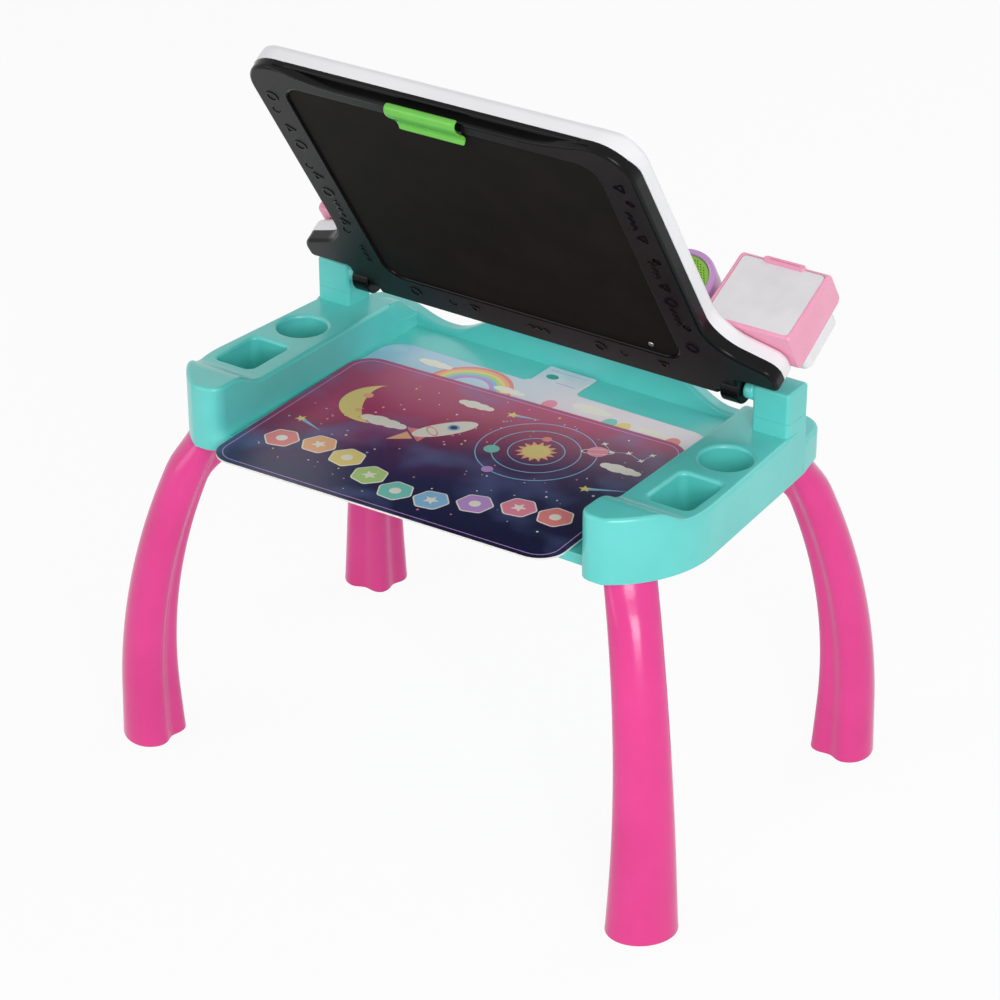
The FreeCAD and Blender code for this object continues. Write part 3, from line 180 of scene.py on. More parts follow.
# Zinc-plated steel of pins, screws, rod and spring: grey, with a fine drawn grain
zincSteel = moulded("zincSteel", dict(
    colour="B9BBBE", shade="A5A8AC", roughness=0.3, ior=1.5, flow=6, grain=0.5, relief=0.1, metal=1.0))
# Steel screws blackened in oil: dark, with a dull glint
oiledSteel = moulded("oiledSteel", dict(
    colour="2A2A2C", shade="202022", roughness=0.4, ior=1.5, flow=6, grain=0.5, relief=0.1, metal=1.0))
# Glass-epoxy circuit board under green solder mask
solderMask = moulded("solderMask", dict(
    colour="1F6B3F", shade="185A34", roughness=0.4, ior=1.5, flow=8, grain=0.8, relief=0.1))
# Polyester touch film: clear grey sheen
touchFilm = moulded("touchFilm", dict(
    colour="C9CED2", shade="BFC5CA", roughness=0.2, ior=1.57, flow=20, grain=0.9, relief=0.02))
# Shrink wrap of the cells
cellWrap = moulded("cellWrap", dict(
    colour="3E6E9E", shade="35618E", roughness=0.3, ior=1.5, flow=10, grain=0.8, relief=0.03))
# Raw edge of the thick card: white, fibrous and matt
cardCore = moulded("cardCore", dict(
    colour="F1EFEA", shade="E6E3DC", roughness=0.7, ior=1.45, flow=4, grain=0.6, relief=0.2))


def varnishedPrint(name, look):
    # offset print under satin varnish: colours run slowly across the sheet and cloud a little
    material, tree, shader, space = newMaterial(name, look)
    place = addNode(tree, "Mapping", {
        "Vector": space, "Location": [-x * metre for x in look["start"]] + [0.0]}, vector_type="POINT")
    turn = addNode(tree, "Mapping", {
        "Vector": place.outputs["Vector"], "Rotation": (0, 0, math.radians(-look["heading"])),
        "Scale": [1 / (look["run"] * metre)] * 3}, vector_type="POINT")
    axes = addNode(tree, "SeparateXYZ", {"Vector": turn.outputs["Vector"]})
    cloud = addNode(tree, "TexNoise", {"Vector": space, "Scale": 1 / (look["cloud"] * metre), "Detail": 4.0})
    drift = addNode(tree, "Math", {
        0: cloud.outputs["Fac"], 1: look["drift"], 2: axes.outputs["X"]}, operation="MULTIPLY_ADD")
    tone = addNode(tree, "ValToRGB", {"Fac": drift.outputs["Value"]})
    colourStops(tone.color_ramp, look["tones"])
    # pale patches of one haze tone laid over the tones: painted sheen on the night print, a white haze on the
    # sky print
    haze = addNode(tree, "TexNoise", {
        "Vector": place.outputs["Vector"], "Scale": 1 / (look["sheenAndHaze"] * metre), "Detail": 2.0})
    sheenAndHaze = addNode(tree, "MapRange", {
        "Value": haze.outputs["Fac"], "From Min": 0.52, "From Max": 0.75, "To Min": 0.0,
        "To Max": look["sheenAndHazeShare"]})
    mix = addNode(tree, "Mix", {
        0: sheenAndHaze.outputs["Result"], 6: tone.outputs["Color"], 7: linear(look["sheenAndHazeTone"])}, data_type="RGBA")
    tree.links.new(mix.outputs[2], shader.inputs["Base Color"])
    grainOn(tree, shader, space, look)
    return material


# the night print's grey-blue haze patches are painted sheen
nightPrint = varnishedPrint("nightPrint", dict(
    start=(40, -200), heading=115, run=270, cloud=60, drift=0.3, sheenAndHaze=75, sheenAndHazeShare=0.5,
    sheenAndHazeTone="6C7FB6", roughness=0.34, ior=1.5, grain=0.8, relief=0.03,
    tones=[(0.1, "14163C"), (0.42, "1E1F4E"), (0.66, "4A2257"), (0.88, "A8265C"), (1.0, "B8326A")]))
skyPrint = varnishedPrint("skyPrint", dict(
    start=(-205, 60), heading=0, run=400, cloud=70, drift=0.3, sheenAndHaze=60, sheenAndHazeShare=0.5,
    sheenAndHazeTone="FFFFFF", roughness=0.34, ior=1.5, grain=0.8, relief=0.03,
    tones=[(0.1, "9CCBE6"), (0.45, "C4DFEE"), (0.8, "F3E4EA"), (1.0, "F6EDF0")]))
# Offset inks under the same varnish: flat, clean colours
inkColours = {"coral": "F28C8C", "peach": "F7B98B", "butter": "F3DC86", "leaf": "B9DC8A", "mint": "7FD3C5",
              "sky": "8EC4E8", "lilac": "C59ADB", "rose": "F08FA8", "cream": "F7F2E4", "dusk": "2B2A63",
              "teal": "2FA59B"}
inkNames = list(inkColours)
inks = []
for name, hexCode in inkColours.items():
    inks.append(moulded(name + "Ink", dict(
        colour=hexCode, shade=hexCode, roughness=0.34, ior=1.5, flow=12, grain=0.8, relief=0.03)))
print("materials made")


def only(items, kind):
    return [item for item in items if isinstance(item, kind)]


def outline(corners, height=0.0, rounding=8):
    # a flat face from its corners (x, y, radius), each corner rounded
    bm = bmesh.new()
    spots = [Vector((x, y, height)) for x, y, radius in corners]
    verts = [bm.verts.new(spot) for spot in spots]
    bm.faces.new(verts)
    for index, vert in enumerate(verts):
        radius = corners[index][2]
        if radius:
            before = spots[index - 1] - spots[index]
            after = spots[(index + 1) % len(spots)] - spots[index]
            width = radius / math.tan(before.angle(after) / 2)
            bmesh.ops.bevel(bm, geom=[vert], offset=width, offset_type="OFFSET", segments=rounding,
                            profile=0.5, affect="VERTICES", material=-1)
    bmesh.ops.remove_doubles(bm, verts=bm.verts[:], dist=0.02)
    return bm


def plate(corners, low, high, rounding=8):
    bm = outline(corners, low, rounding)
    pull(bm, bm.faces[:], high - low)
    return bm


def slab(left, right, low, high, radius):
    return [(left, low, radius), (right, low, radius), (right, high, radius), (left, high, radius)]


def mirrored(corners):
    return corners + [(-x, y, radius) for x, y, radius in reversed(corners)]


def pull(bm, faces, height):
    # closes flat faces into a solid by pulling a copy of them along z
    pulled = bmesh.ops.extrude_face_region(bm, geom=faces)["geom"]
    bmesh.ops.translate(bm, vec=(0, 0, height), verts=only(pulled, bmesh.types.BMVert))
    bmesh.ops.recalc_face_normals(bm, faces=bm.faces[:])


def sharpEdges(bm, angle=30):
    limit = math.radians(angle)
    return [edge for edge in bm.edges if len(edge.link_faces) == 2 and edge.calc_face_angle() > limit]


def middle(edge):
    return (edge.verts[0].co + edge.verts[1].co) / 2


def atHeight(edge, height):
    return all(abs(vert.co.z - height) < 0.05 for vert in edge.verts)


def roundOff(bm, edges, radius, segments=4):
    bmesh.ops.bevel(bm, geom=edges, offset=radius, offset_type="OFFSET", segments=segments, profile=0.5,
                    affect="EDGES", material=-1)


def roundRim(bm, height, radius, segments=4):
    # rounds the sharp edges that lie at one height
    roundOff(bm, [edge for edge in sharpEdges(bm) if atHeight(edge, height)], radius, segments)


def rimCutter(corners, low, top, radius, rounding=8, segments=4):
    # a cutter that rolls outwards at its top, so that the hole it cuts has a rounded rim
    bm = plate(corners, low, top - radius, rounding)
    xs, ys = list(zip(*corners))[:2]
    centre = Vector(((min(xs) + max(xs)) / 2, (min(ys) + max(ys)) / 2, 0))
    half = Vector(((max(xs) - min(xs)) / 2, (max(ys) - min(ys)) / 2, 1))
    face = max(bm.faces, key=lambda item: item.calc_center_median().z)
    grown = 0.0
    for step in range(1, segments + 2):
        turn = math.radians(90) * min(step / segments, 1)
        grow = radius * (1 - math.cos(turn))
        rise = radius * math.sin(turn) if step <= segments else radius * 2
        pulled = bmesh.ops.extrude_face_region(bm, geom=[face])["geom"]
        bmesh.ops.delete(bm, geom=[face], context="FACES_ONLY")
        face = only(pulled, bmesh.types.BMFace)[0]
        for vert in face.verts:
            vert.co.x = centre.x + (vert.co.x - centre.x) * (half.x + grow) / (half.x + grown)
            vert.co.y = centre.y + (vert.co.y - centre.y) * (half.y + grow) / (half.y + grown)
            vert.co.z = top - radius + rise
        grown = grow
    bmesh.ops.recalc_face_normals(bm, faces=bm.faces[:])
    return bm


def shaped(bm, matrix, materialIndex=0):
    bmesh.ops.transform(bm, matrix=matrix, verts=bm.verts[:])
    if matrix.determinant() < 0:
        bmesh.ops.reverse_faces(bm, faces=bm.faces[:])
    for face in bm.faces:
        face.material_index = materialIndex
    return bm


def join(bm, other):
    mesh = bpy.data.meshes.new("joined")
    other.to_mesh(mesh)
    other.free()
    bm.from_mesh(mesh)
    bpy.data.meshes.remove(mesh)


def combine(bm, other, operation="DIFFERENCE"):
    # cuts one closed shape out of another, or makes the two one
    holders = []
    for shape in (bm, other):
        mesh = bpy.data.meshes.new("carving")
        shape.to_mesh(mesh)
        shape.free()
        holders.append(bpy.data.objects.new("carving", mesh))
        scene.collection.objects.link(holders[-1])
    cut = holders[0].modifiers.new("cut", "BOOLEAN")
    cut.operation = operation
    cut.solver = "EXACT"
    cut.object = holders[1]
    evaluated = holders[0].evaluated_get(bpy.context.evaluated_depsgraph_get())
    result = bmesh.new()
    result.from_mesh(evaluated.to_mesh())
    evaluated.to_mesh_clear()
    for holder in holders:
        mesh = holder.data
        bpy.data.objects.remove(holder)
        bpy.data.meshes.remove(mesh)
    return result


def copyNode(name, place=flat):
    # a merged copy of a CAD node's mesh, in millimetres, laid back to where it was drawn
    bm = bmesh.new()
    bm.from_mesh(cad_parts[name].data)
    bmesh.ops.transform(bm, matrix=place.inverted() @ Matrix.Scale(1 / metre, 4), verts=bm.verts[:])
    bmesh.ops.remove_doubles(bm, verts=bm.verts[:], dist=0.002)
    bmesh.ops.dissolve_limit(bm, angle_limit=math.radians(0.4), verts=bm.verts[:], edges=bm.edges[:])
    for face in bm.faces:
        face.material_index = 0
    return bm


def settle(bm, name, materials, body, nodes=(), place=flat, subdivision=0):
    # a finished piece: its place goes in its mesh, in metres, and it rides its body
    bmesh.ops.transform(bm, matrix=Matrix.Scale(metre, 4) @ place, verts=bm.verts[:])
    mesh = bpy.data.meshes.new(name)
    bm.to_mesh(mesh)
    bm.free()
    for material in materials:
        mesh.materials.append(material)
    piece = bpy.data.objects.new(name, mesh)
    scene.collection.objects.link(piece)
    mesh.shade_smooth()
    mesh.set_sharp_from_angle(angle=creaseAngle)
    if subdivision:
        soften = piece.modifiers.new("soften", "SUBSURF")
        soften.levels = soften.render_levels = subdivision
    else:
        even = piece.modifiers.new("even", "WEIGHTED_NORMAL")
        even.keep_sharp = True
    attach(piece, body)
    if nodes:
        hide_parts(*nodes)


def easing(share):
    share = min(max(share, 0), 1)
    return share * share * (3 - 2 * share)


def splitFaces(bm, faces, place, normal):
    # cuts a line across the given faces alone
    edges = list(dict.fromkeys(edge for face in faces for edge in face.edges))
    verts = list(dict.fromkeys(vert for face in faces for vert in face.verts))
    bmesh.ops.bisect_plane(bm, geom=verts + edges + faces, plane_co=place, plane_no=normal)


def splitAcross(bm, y):
    # cuts a line round the whole shape at one depth
    parts = bm.verts[:] + bm.edges[:] + bm.faces[:]
    bmesh.ops.bisect_plane(bm, geom=parts, plane_co=(0, y, 0), plane_no=(0, 1, 0))


# Tray: the CAD shell with its rims softened, and cups and wells cut again with rolled rims
tray = {"wingTop": 400.0, "level": 0.2, "slack": 0.1, "rim": 4.2, "seam": 0.5, "stubTop": 415.0,
        "stub": (236.0, 77.0, 118.8), "holeRim": 4.0, "holeFloor": 356.0,
        "cup": (255.0, 15.0, 26.0, 26.0, 26.0), "well": (258.0, -62.5, 23.5, 32.0, 9.0),
        "wallFront": 117.0, "wallRear": 155.0, "wallLow": 379.0, "wallEdgeLow": 357.0, "wallEdgeRise": 8.0,
        "crown": 397.0, "dip": [(32.0, 90.0, 80.0), (-15.0, 178.0, 66.0)], "dipEnd": 245.0,
        "cutStart": 92, "cutStep": 8, "cutFront": 115.8,
        "saddle": (212.25, 250.0, 110.0, 168.0), "saddleLow": 370.0, "saddleFade": (228.0, 22.0),
        "saddleSlope": (117.0, 46.0), "saddleCuts": 11, "saddleSink": 0.3, "saddleLift": 0.2,
        "tuck": 4.5, "tuckStart": 112.0, "tuckLength": 40.0}


def wallHeight(x):
    # the rear wall dips between its crown and the wings, in a long curve
    dips = [deep * easing((abs(x) - start) / length) for deep, start, length in tray["dip"]]
    return tray["crown"] - sum(dips)


def onWing(face):
    return all(abs(vert.co.z - tray["wingTop"]) < 0.01 for vert in face.verts)


def inHole(face, hole):
    x, y, halfX, halfY, radius = hole
    across = max(abs(abs(vert.co.x) - x) for vert in face.verts)
    along = max(abs(vert.co.y - y) for vert in face.verts)
    return across < halfX + tray["slack"] and along < halfY + tray["slack"]


def fillHoles(bm, holes):
    # takes out each hole's walls and floor, levels the wing's top and closes the mouths
    inner = [face for face in bm.faces for hole in holes if inHole(face, hole)]
    bmesh.ops.delete(bm, geom=inner, context="FACES")
    for vert in bm.verts:
        if abs(vert.co.z - tray["wingTop"]) < tray["level"]:
            vert.co.z = tray["wingTop"]
    bmesh.ops.holes_fill(bm, edges=[edge for edge in bm.edges if edge.is_boundary], sides=0)
    bmesh.ops.dissolve_limit(bm, angle_limit=math.radians(0.4), verts=bm.verts[:], edges=bm.edges[:])
    return len(inner)


bm = copyNode("storage_tray")
holes = [tray["cup"], tray["well"]]
filled = fillHoles(bm, holes)
# a line across each hole's middle leaves the wing's top in plain pieces, which round evenly
for x, y, halfX, halfY, radius in holes:
    splitFaces(bm, [face for face in bm.faces if onWing(face)], (0, y, 0), (0, 1, 0))
cutters = bmesh.new()
for side in (-1, 1):
    for x, y, halfX, halfY, radius in holes:
        mouth = slab(side * x - halfX, side * x + halfX, y - halfY, y + halfY, radius)
        join(cutters, rimCutter(mouth, tray["holeFloor"], tray["wingTop"], tray["holeRim"], 10, 5))
bm = combine(bm, cutters)
inside, stubFront, stubRear = tray["stub"]
for place in (stubFront, stubRear):
    splitAcross(bm, place)
for place in range(tray["cutStart"], int(tray["dipEnd"]), tray["cutStep"]):
    for side in (-1, 1):
        rear = [face for face in bm.faces if all(vert.co.y > tray["cutFront"] for vert in face.verts)]
        splitFaces(bm, rear, (side * place, 0, 0), (1, 0, 0))
for vert in bm.verts:
    x, y, z = vert.co
    if y > tray["wallRear"] and abs(x) < tray["dipEnd"] and z > tray["wallLow"]:
        vert.co.z = wallHeight(x)
rims, walls, seams = [], [], []
slack = tray["slack"]
for edge in sharpEdges(bm):
    spot = middle(edge)
    low, high = sorted(vert.co.z for vert in edge.verts)
    byStub = abs(spot.x) > inside and stubFront - slack < spot.y < stubRear + slack
    onWall = low > tray["wallEdgeLow"] and high < tray["wingTop"] and spot.y > tray["wallFront"]
    if byStub and low > tray["stubTop"] - slack:
        seams.append(edge)
    elif low > tray["wingTop"] - slack and not byStub and edge.is_convex:
        rims.append(edge)
    elif onWall and high - low < tray["wallEdgeRise"] and edge.is_convex:
        walls.append(edge)
roundOff(bm, seams, tray["seam"], 2)
roundOff(bm, rims + walls, tray["rim"], 5)
for vert in bm.verts:
    x, y, z = vert.co
    if abs(x) > inside:
        share = easing((y - tray["tuckStart"]) / tray["tuckLength"])
        vert.co.x -= math.copysign(tray["tuck"] * share, x)
# a saddle leads each wing's top down to the rear wall
fadeStart, fadeLength = tray["saddleFade"]
slopeStart, slopeLength = tray["saddleSlope"]
base, full = tray["saddleLow"], tray["wingTop"] - tray["saddleLow"]
for side in (-1, 1):
    saddle = plate(slab(*tray["saddle"], 0), base, tray["wingTop"])
    bmesh.ops.subdivide_edges(saddle, edges=saddle.edges[:], cuts=tray["saddleCuts"], use_grid_fill=True)
    for vert in saddle.verts:
        x, y, z = vert.co
        wall = wallHeight(x)
        rise = (1 - easing((y - slopeStart) / slopeLength)) * (1 - easing((x - fadeStart) / fadeLength))
        top = wall - tray["saddleSink"] + (tray["wingTop"] + tray["saddleLift"] - wall) * rise
        vert.co.z = base + (z - base) * (top - base) / full
    join(bm, shaped(saddle, Matrix.Scale(side, 4, (1, 0, 0))))
settle(bm, "trayShell", [tealPolypropylene], "base", ["storage_tray"])
print("tray done:", filled, "faces filled,", len(rims + walls), "rim edges,", len(seams), "seam edges")

# Hinge arms: the blocks that stand on the tray's stubs, with a fine seam below
arm = {"rounding": 3.0, "axis": (86.4, 438.0), "boreReach": 8.0, "bottom": 415.0, "topStart": 427.0,
       "seam": 0.5}
for side in ("left", "right"):
    bm = copyNode("hinge_arm_" + side)
    tops, seams = [], []
    for edge in sharpEdges(bm):
        spot = middle(edge)
        reach = math.hypot(spot.y - arm["axis"][0], spot.z - arm["axis"][1])
        if reach > arm["boreReach"] and spot.z > arm["topStart"] and edge.is_convex:
            tops.append(edge)
        elif atHeight(edge, arm["bottom"]) and edge.is_convex:
            seams.append(edge)
    roundOff(bm, tops, arm["rounding"], 3)
    roundOff(bm, [edge for edge in seams if edge.is_valid], arm["seam"], 2)
    settle(bm, "hingeArm_" + side, [tealPolypropylene], "base", ["hinge_arm_" + side])
print("hinge arms done")

# Legs: a unit cylinder ringed along its length and drawn out to the bent, fluted leg
leg = {"foot": (305.0, 195.5), "bearing": 43.0, "top": 347.0, "bend": 617.0, "straight": 56.0,
       "depth": 23.6, "footDepth": 5.6, "breadth": 25.3, "footBreadth": 10.3, "footRib": 7.0,
       "gusset": 46.0, "gussetHeight": 50.0, "gussetCurve": 1.6, "flute": 0.18, "flutePlace": 34.0,
       "fluteWidth": 18.0, "ribSpread": 52.0, "tuck": 7.0, "tuckHeight": 36.0, "footRounding": 3.0,
       "sides": 96, "rings": 46}


def legPoint(angle, height):
    flare = (1 - height / leg["top"]) ** 2
    rise = max(height - leg["straight"], 0)
    inward = leg["bend"] - math.sqrt(leg["bend"] ** 2 - rise ** 2)
    fromBack = 180 - abs(math.degrees(angle))
    reach = 1 - leg["flute"] * math.exp(-((fromBack - leg["flutePlace"]) / leg["fluteWidth"]) ** 2)
    rib = easing(1 - fromBack / leg["ribSpread"])
    swell = max(0, 1 - (leg["top"] - height) / leg["gussetHeight"]) ** leg["gussetCurve"]
    tuck = easing(1 - (leg["top"] - height) / leg["tuckHeight"]) * max(0, math.cos(angle)) * leg["tuck"]
    x = math.cos(angle) * reach * (leg["depth"] + leg["footDepth"] * flare) - inward
    x -= rib * (swell * leg["gusset"] + flare * leg["footRib"]) + tuck
    y = math.sin(angle) * reach * (leg["breadth"] + leg["footBreadth"] * flare)
    return Vector((x, y, height))


footX, footY = leg["foot"]
bearing = math.radians(leg["bearing"])
for lengthName, lengthways in (("front", -1), ("rear", 1)):
    for sideName, across in (("left", -1), ("right", 1)):
        corner = lengthName + "_" + sideName
        bm = bmesh.new()
        bmesh.ops.create_cone(bm, cap_ends=True, segments=leg["sides"], radius1=1, radius2=1, depth=1)
        risers = [edge for edge in bm.edges if abs(edge.verts[0].co.z - edge.verts[1].co.z) > 0.5]
        bmesh.ops.subdivide_edges(bm, edges=risers, cuts=leg["rings"], use_grid_fill=True)
        for vert in bm.verts:
            vert.co = legPoint(math.atan2(vert.co.y, vert.co.x), (vert.co.z + 0.5) * leg["top"])
        roundRim(bm, 0, leg["footRounding"], 3)
        turn = math.atan2(lengthways * math.sin(bearing), across * math.cos(bearing))
        place = Matrix.Translation((across * footX, lengthways * footY, 0)) @ Matrix.Rotation(turn, 4, "Z")
        settle(bm, "legShell_" + corner, [pinkPolypropylene], "base", ["leg_" + corner], place)
print("legs done")

# Board frame: the black lower shell, with finger recess, window, knuckles, screw pockets and raised marks
lidFrame = {"face": -9.0, "seam": 5.0, "faceRim": 4.0, "scoop": [(158, -361.4, 150), (120, -352, 150)],
            "recess": -3.0, "recessHalf": 165.0, "recessEnd": -338.0, "recessRim": 2.5,
            "window": (-176, 176, -334, -33, 22), "windowFloor": 3.9, "windowRim": 2.4,
            "knuckle": (212.0, 232.0, 16.0), "knuckleRim": 1.2, "pocket": 4.3, "pocketDepth": 3.2,
            "pocketRim": 0.7, "screws": [(201, -99.2), (201, -204.6), (201, -291.9), (103, -15)],
            "bead": 4.0, "beadRise": 1.5, "beadRoot": 4.0, "beadRim": 1.7, "beadHalf": 178.0,
            "beadFade": 150.0, "beadSink": 2.0, "mark": 0.9, "markSize": 7.0, "markClear": 11.9,
            "markRow": 196.0, "markStart": -64.0, "markSpacing": 25.0, "sideMarks": 11,
            "rearMarks": (-150.0, 75.0, -15.0, 5),
            "rivet": (142.2, -44.7, 3.2), "rivetSpan": (-7.9, -5.5), "rivetRim": 1.2,
            "corners": [(216.4, -361.4, 38), (216.4, -75.6, 43.5), (280.4, -50.8, 16), (280.4, -25, 6),
                        (232, -25, 3), (232, 2, 5), (205, 2, 2), (205, 11, 5)]}
face, seam, recess = lidFrame["face"], lidFrame["seam"], lidFrame["recess"]
freeEdge = lidFrame["corners"][0][1]
scoop = [(-x, y, radius) for x, y, radius in lidFrame["scoop"]] + lidFrame["scoop"][::-1]  # left to right
bm = plate(scoop + mirrored(lidFrame["corners"]), face, seam, 10)
roundRim(bm, face, lidFrame["faceRim"], 5)
wide = lidFrame["recessHalf"]
tongue = plate(slab(-wide, wide, freeEdge, lidFrame["recessEnd"], 0), recess, seam)
lips = [edge for edge in tongue.edges if atHeight(edge, recess) and middle(edge).y < freeEdge + 0.4]
roundOff(tongue, lips, lidFrame["recessRim"], 4)
innerX, outerX, radius = lidFrame["knuckle"]
for left, right in ((innerX, outerX), (-outerX, -innerX)):
    knuckle = plate(slab(-radius, radius, -radius, radius, radius), left, right, 10)
    for end in (left, right):
        roundRim(knuckle, end, lidFrame["knuckleRim"], 3)
    join(tongue, shaped(knuckle, sideways))
bm = combine(bm, tongue, "UNION")
cutters = rimCutter(slab(*lidFrame["window"]), lidFrame["windowFloor"], -face, lidFrame["windowRim"], 8, 3)
size = lidFrame["pocket"]
screwSpots = [(side * x, y) for x, y in lidFrame["screws"] for side in (-1, 1)]
for x, y in screwSpots:
    pocket = slab(x - size, x + size, y - size, y + size, size)
    join(cutters, rimCutter(pocket, -face - lidFrame["pocketDepth"], -face, lidFrame["pocketRim"], 5, 2))
bm = combine(bm, shaped(cutters, flipped))
for item in bm.faces:
    onBorder = item.normal.z < -0.98 and item.calc_center_median().z < face + 0.1
    item.material_index = 1 if onBorder else 0
thin, end, fade = lidFrame["bead"], lidFrame["beadHalf"], lidFrame["beadFade"]
outer = [(-end, freeEdge, 0)] + scoop + [(end, freeEdge, 0)]
inner = [(x, y + thin, radius) for x, y, radius in reversed(outer)]
beadTop = face - lidFrame["beadRise"]
bead = plate(outer + inner, beadTop, face + lidFrame["beadRoot"], 10)
roundRim(bead, beadTop, lidFrame["beadRim"], 4)
for vert in bead.verts:
    vert.co.z += lidFrame["beadSink"] * easing((abs(vert.co.x) - fade) / (end - fade))
join(bm, bead)


def disc(radius, sides=32):
    bm = bmesh.new()
    bmesh.ops.create_circle(bm, cap_ends=True, segments=sides, radius=radius)
    return bm


def edgeBand(bm, width):
    # leaves a band of one width along a flat face's edge
    bmesh.ops.inset_region(bm, faces=bm.faces[:], thickness=width, use_boundary=True)
    widest = max(bm.faces, key=lambda item: item.calc_area())
    bmesh.ops.delete(bm, geom=[widest], context="FACES_ONLY")
    return bm


def frameMark(kind, size):
    # one raised mark of the frame's border: a ring, a triangle or a zigzag
    if kind == "ring":
        mark = edgeBand(disc(size, 28), size * 0.28)
    elif kind == "triangle":
        corners = [(-size, -size * 0.8, 1.5), (size, -size * 0.8, 1.5), (0, size, 1.5)]
        mark = edgeBand(outline(corners), size * 0.26)
    else:
        thick, step = size * 0.3, size * 0.62
        upper = [(step * place, size * (0.5 if place % 2 else -0.1) + thick, 0) for place in range(-3, 4)]
        lower = [(x, y - thick * 1.5, 0) for x, y, radius in reversed(upper)]
        mark = outline(upper + lower)
    pull(mark, mark.faces[:], lidFrame["mark"])
    return mark


marks = []
kinds = ("zigzag", "ring", "triangle")
for side in (-1, 1):
    for place in range(lidFrame["sideMarks"]):
        y = lidFrame["markStart"] - lidFrame["markSpacing"] * place
        marks.append((kinds[(place + (side > 0)) % 3], side * lidFrame["markRow"], y, 90.0 * side))
start, spacing, row, count = lidFrame["rearMarks"]
for place in range(count):
    marks.append((kinds[(place + 1) % 3], start + spacing * place, row, 0.0))
for kind, x, y, turn in marks:
    nearest = min(math.hypot(x - screwX, y - screwY) for screwX, screwY in screwSpots)
    if nearest > lidFrame["markClear"]:
        place = Matrix.Translation((x, y, face - lidFrame["mark"])) @ turned(turn)
        join(bm, shaped(frameMark(kind, lidFrame["markSize"]), place))
settle(bm, "boardFrame", [blackAbs, grainedAbs], "lid", ["chalkboard_frame"], lidPlace)
x, y, radius = lidFrame["rivet"]
low, high = lidFrame["rivetSpan"]
bm = plate(slab(x - radius, x + radius, y - radius, y + radius, radius), low, high, 6)
roundRim(bm, low, lidFrame["rivetRim"], 3)
settle(bm, "boardRivet", [zincSteel], "lid", (), lidPlace)
print("board frame done")

# Deck: the white upper shell, lapping a little over the frame at the free edge
deck = {"low": 5.0, "top": 22.0, "rim": 6.0, "bed": (-202, 202, -351, -79, 26), "bedDepth": 1.5,
        "bedRim": 0.9, "drop": 3.0, "dropStart": 330.0, "dropLength": 20.0, "bow": 4.0, "bowStart": 352.5,
        "bowLength": 9.5,
        "corners": [(217, -362, 38), (217, -75.6, 43.5), (281, -50.8, 16), (281, -25, 7), (233, -25, 3),
                    (205, -20, 4), (204, 11, 7)]}
bm = plate(mirrored(deck["corners"]), deck["low"], deck["top"], 10)
roundRim(bm, deck["top"], deck["rim"], 5)
for vert in bm.verts:
    if abs(vert.co.z - deck["low"]) < 0.01:
        vert.co.z -= deck["drop"] * easing((-vert.co.y - deck["dropStart"]) / deck["dropLength"])
splitAcross(bm, -deck["bowStart"])
bed = rimCutter(slab(*deck["bed"]), deck["top"] - deck["bedDepth"], deck["top"], deck["bedRim"], 10, 3)
bm = combine(bm, bed)
for vert in bm.verts:
    if vert.co.z > deck["top"] / 2:
        vert.co.z -= deck["bow"] * easing((-vert.co.y - deck["bowStart"]) / deck["bowLength"])
settle(bm, "deckCover", [whiteAbs], "lid", ["deck_shell"], lidPlace)
print("deck done")

# Clip: a bent strip with a roll at the free edge and a flared lip on the board
clip = {"middle": -2.5, "halfWidth": 40.0, "endRounding": 4.0, "thickness": 2.5, "tipInset": 3.0,
        "bend": [(-357, -9), (-358.5, -12.5), (-357, -16.5), (-353, -18.8), (-347.5, -18.6), (-342, -16.8),
                 (-337, -13.6), (-333, -11.7), (-329, -11.2), (-326, -12.4), (-324, -14.2)]}
bm = bmesh.new()
half, inset = clip["halfWidth"], clip["halfWidth"] - clip["endRounding"]
stations = [-half, -inset, -inset / 2, 0, inset / 2, inset, half]
verts = [bm.verts.new((stations[0], y, z)) for y, z in clip["bend"]]
edges = [bm.edges.new(pair) for pair in zip(verts, verts[1:])]
for before, after in zip(stations, stations[1:]):
    pulled = bmesh.ops.extrude_edge_only(bm, edges=edges)["geom"]
    edges = only(pulled, bmesh.types.BMEdge)
    bmesh.ops.translate(bm, vec=(after - before, 0, 0), verts=only(pulled, bmesh.types.BMVert))
    edges = [edge for edge in edges if abs(edge.verts[0].co.x - edge.verts[1].co.x) < 0.01]
tipLow, tipHigh = clip["bend"][-4][0], clip["bend"][-1][0]
for vert in bm.verts:
    x, y, z = vert.co
    narrowing = clip["tipInset"] * easing((y - tipLow) / (tipHigh - tipLow))
    vert.co.x -= math.copysign(narrowing, x) * (abs(x) / half)
bmesh.ops.recalc_face_normals(bm, faces=bm.faces[:])
bmesh.ops.solidify(bm, geom=bm.faces[:], thickness=clip["thickness"])
clipPlace = lidPlace @ Matrix.Translation((clip["middle"], 0, 0))
settle(bm, "paperClip", [greenAbs], "clip", ["paper_clip"], clipPlace, subdivision=2)
print("clip done")

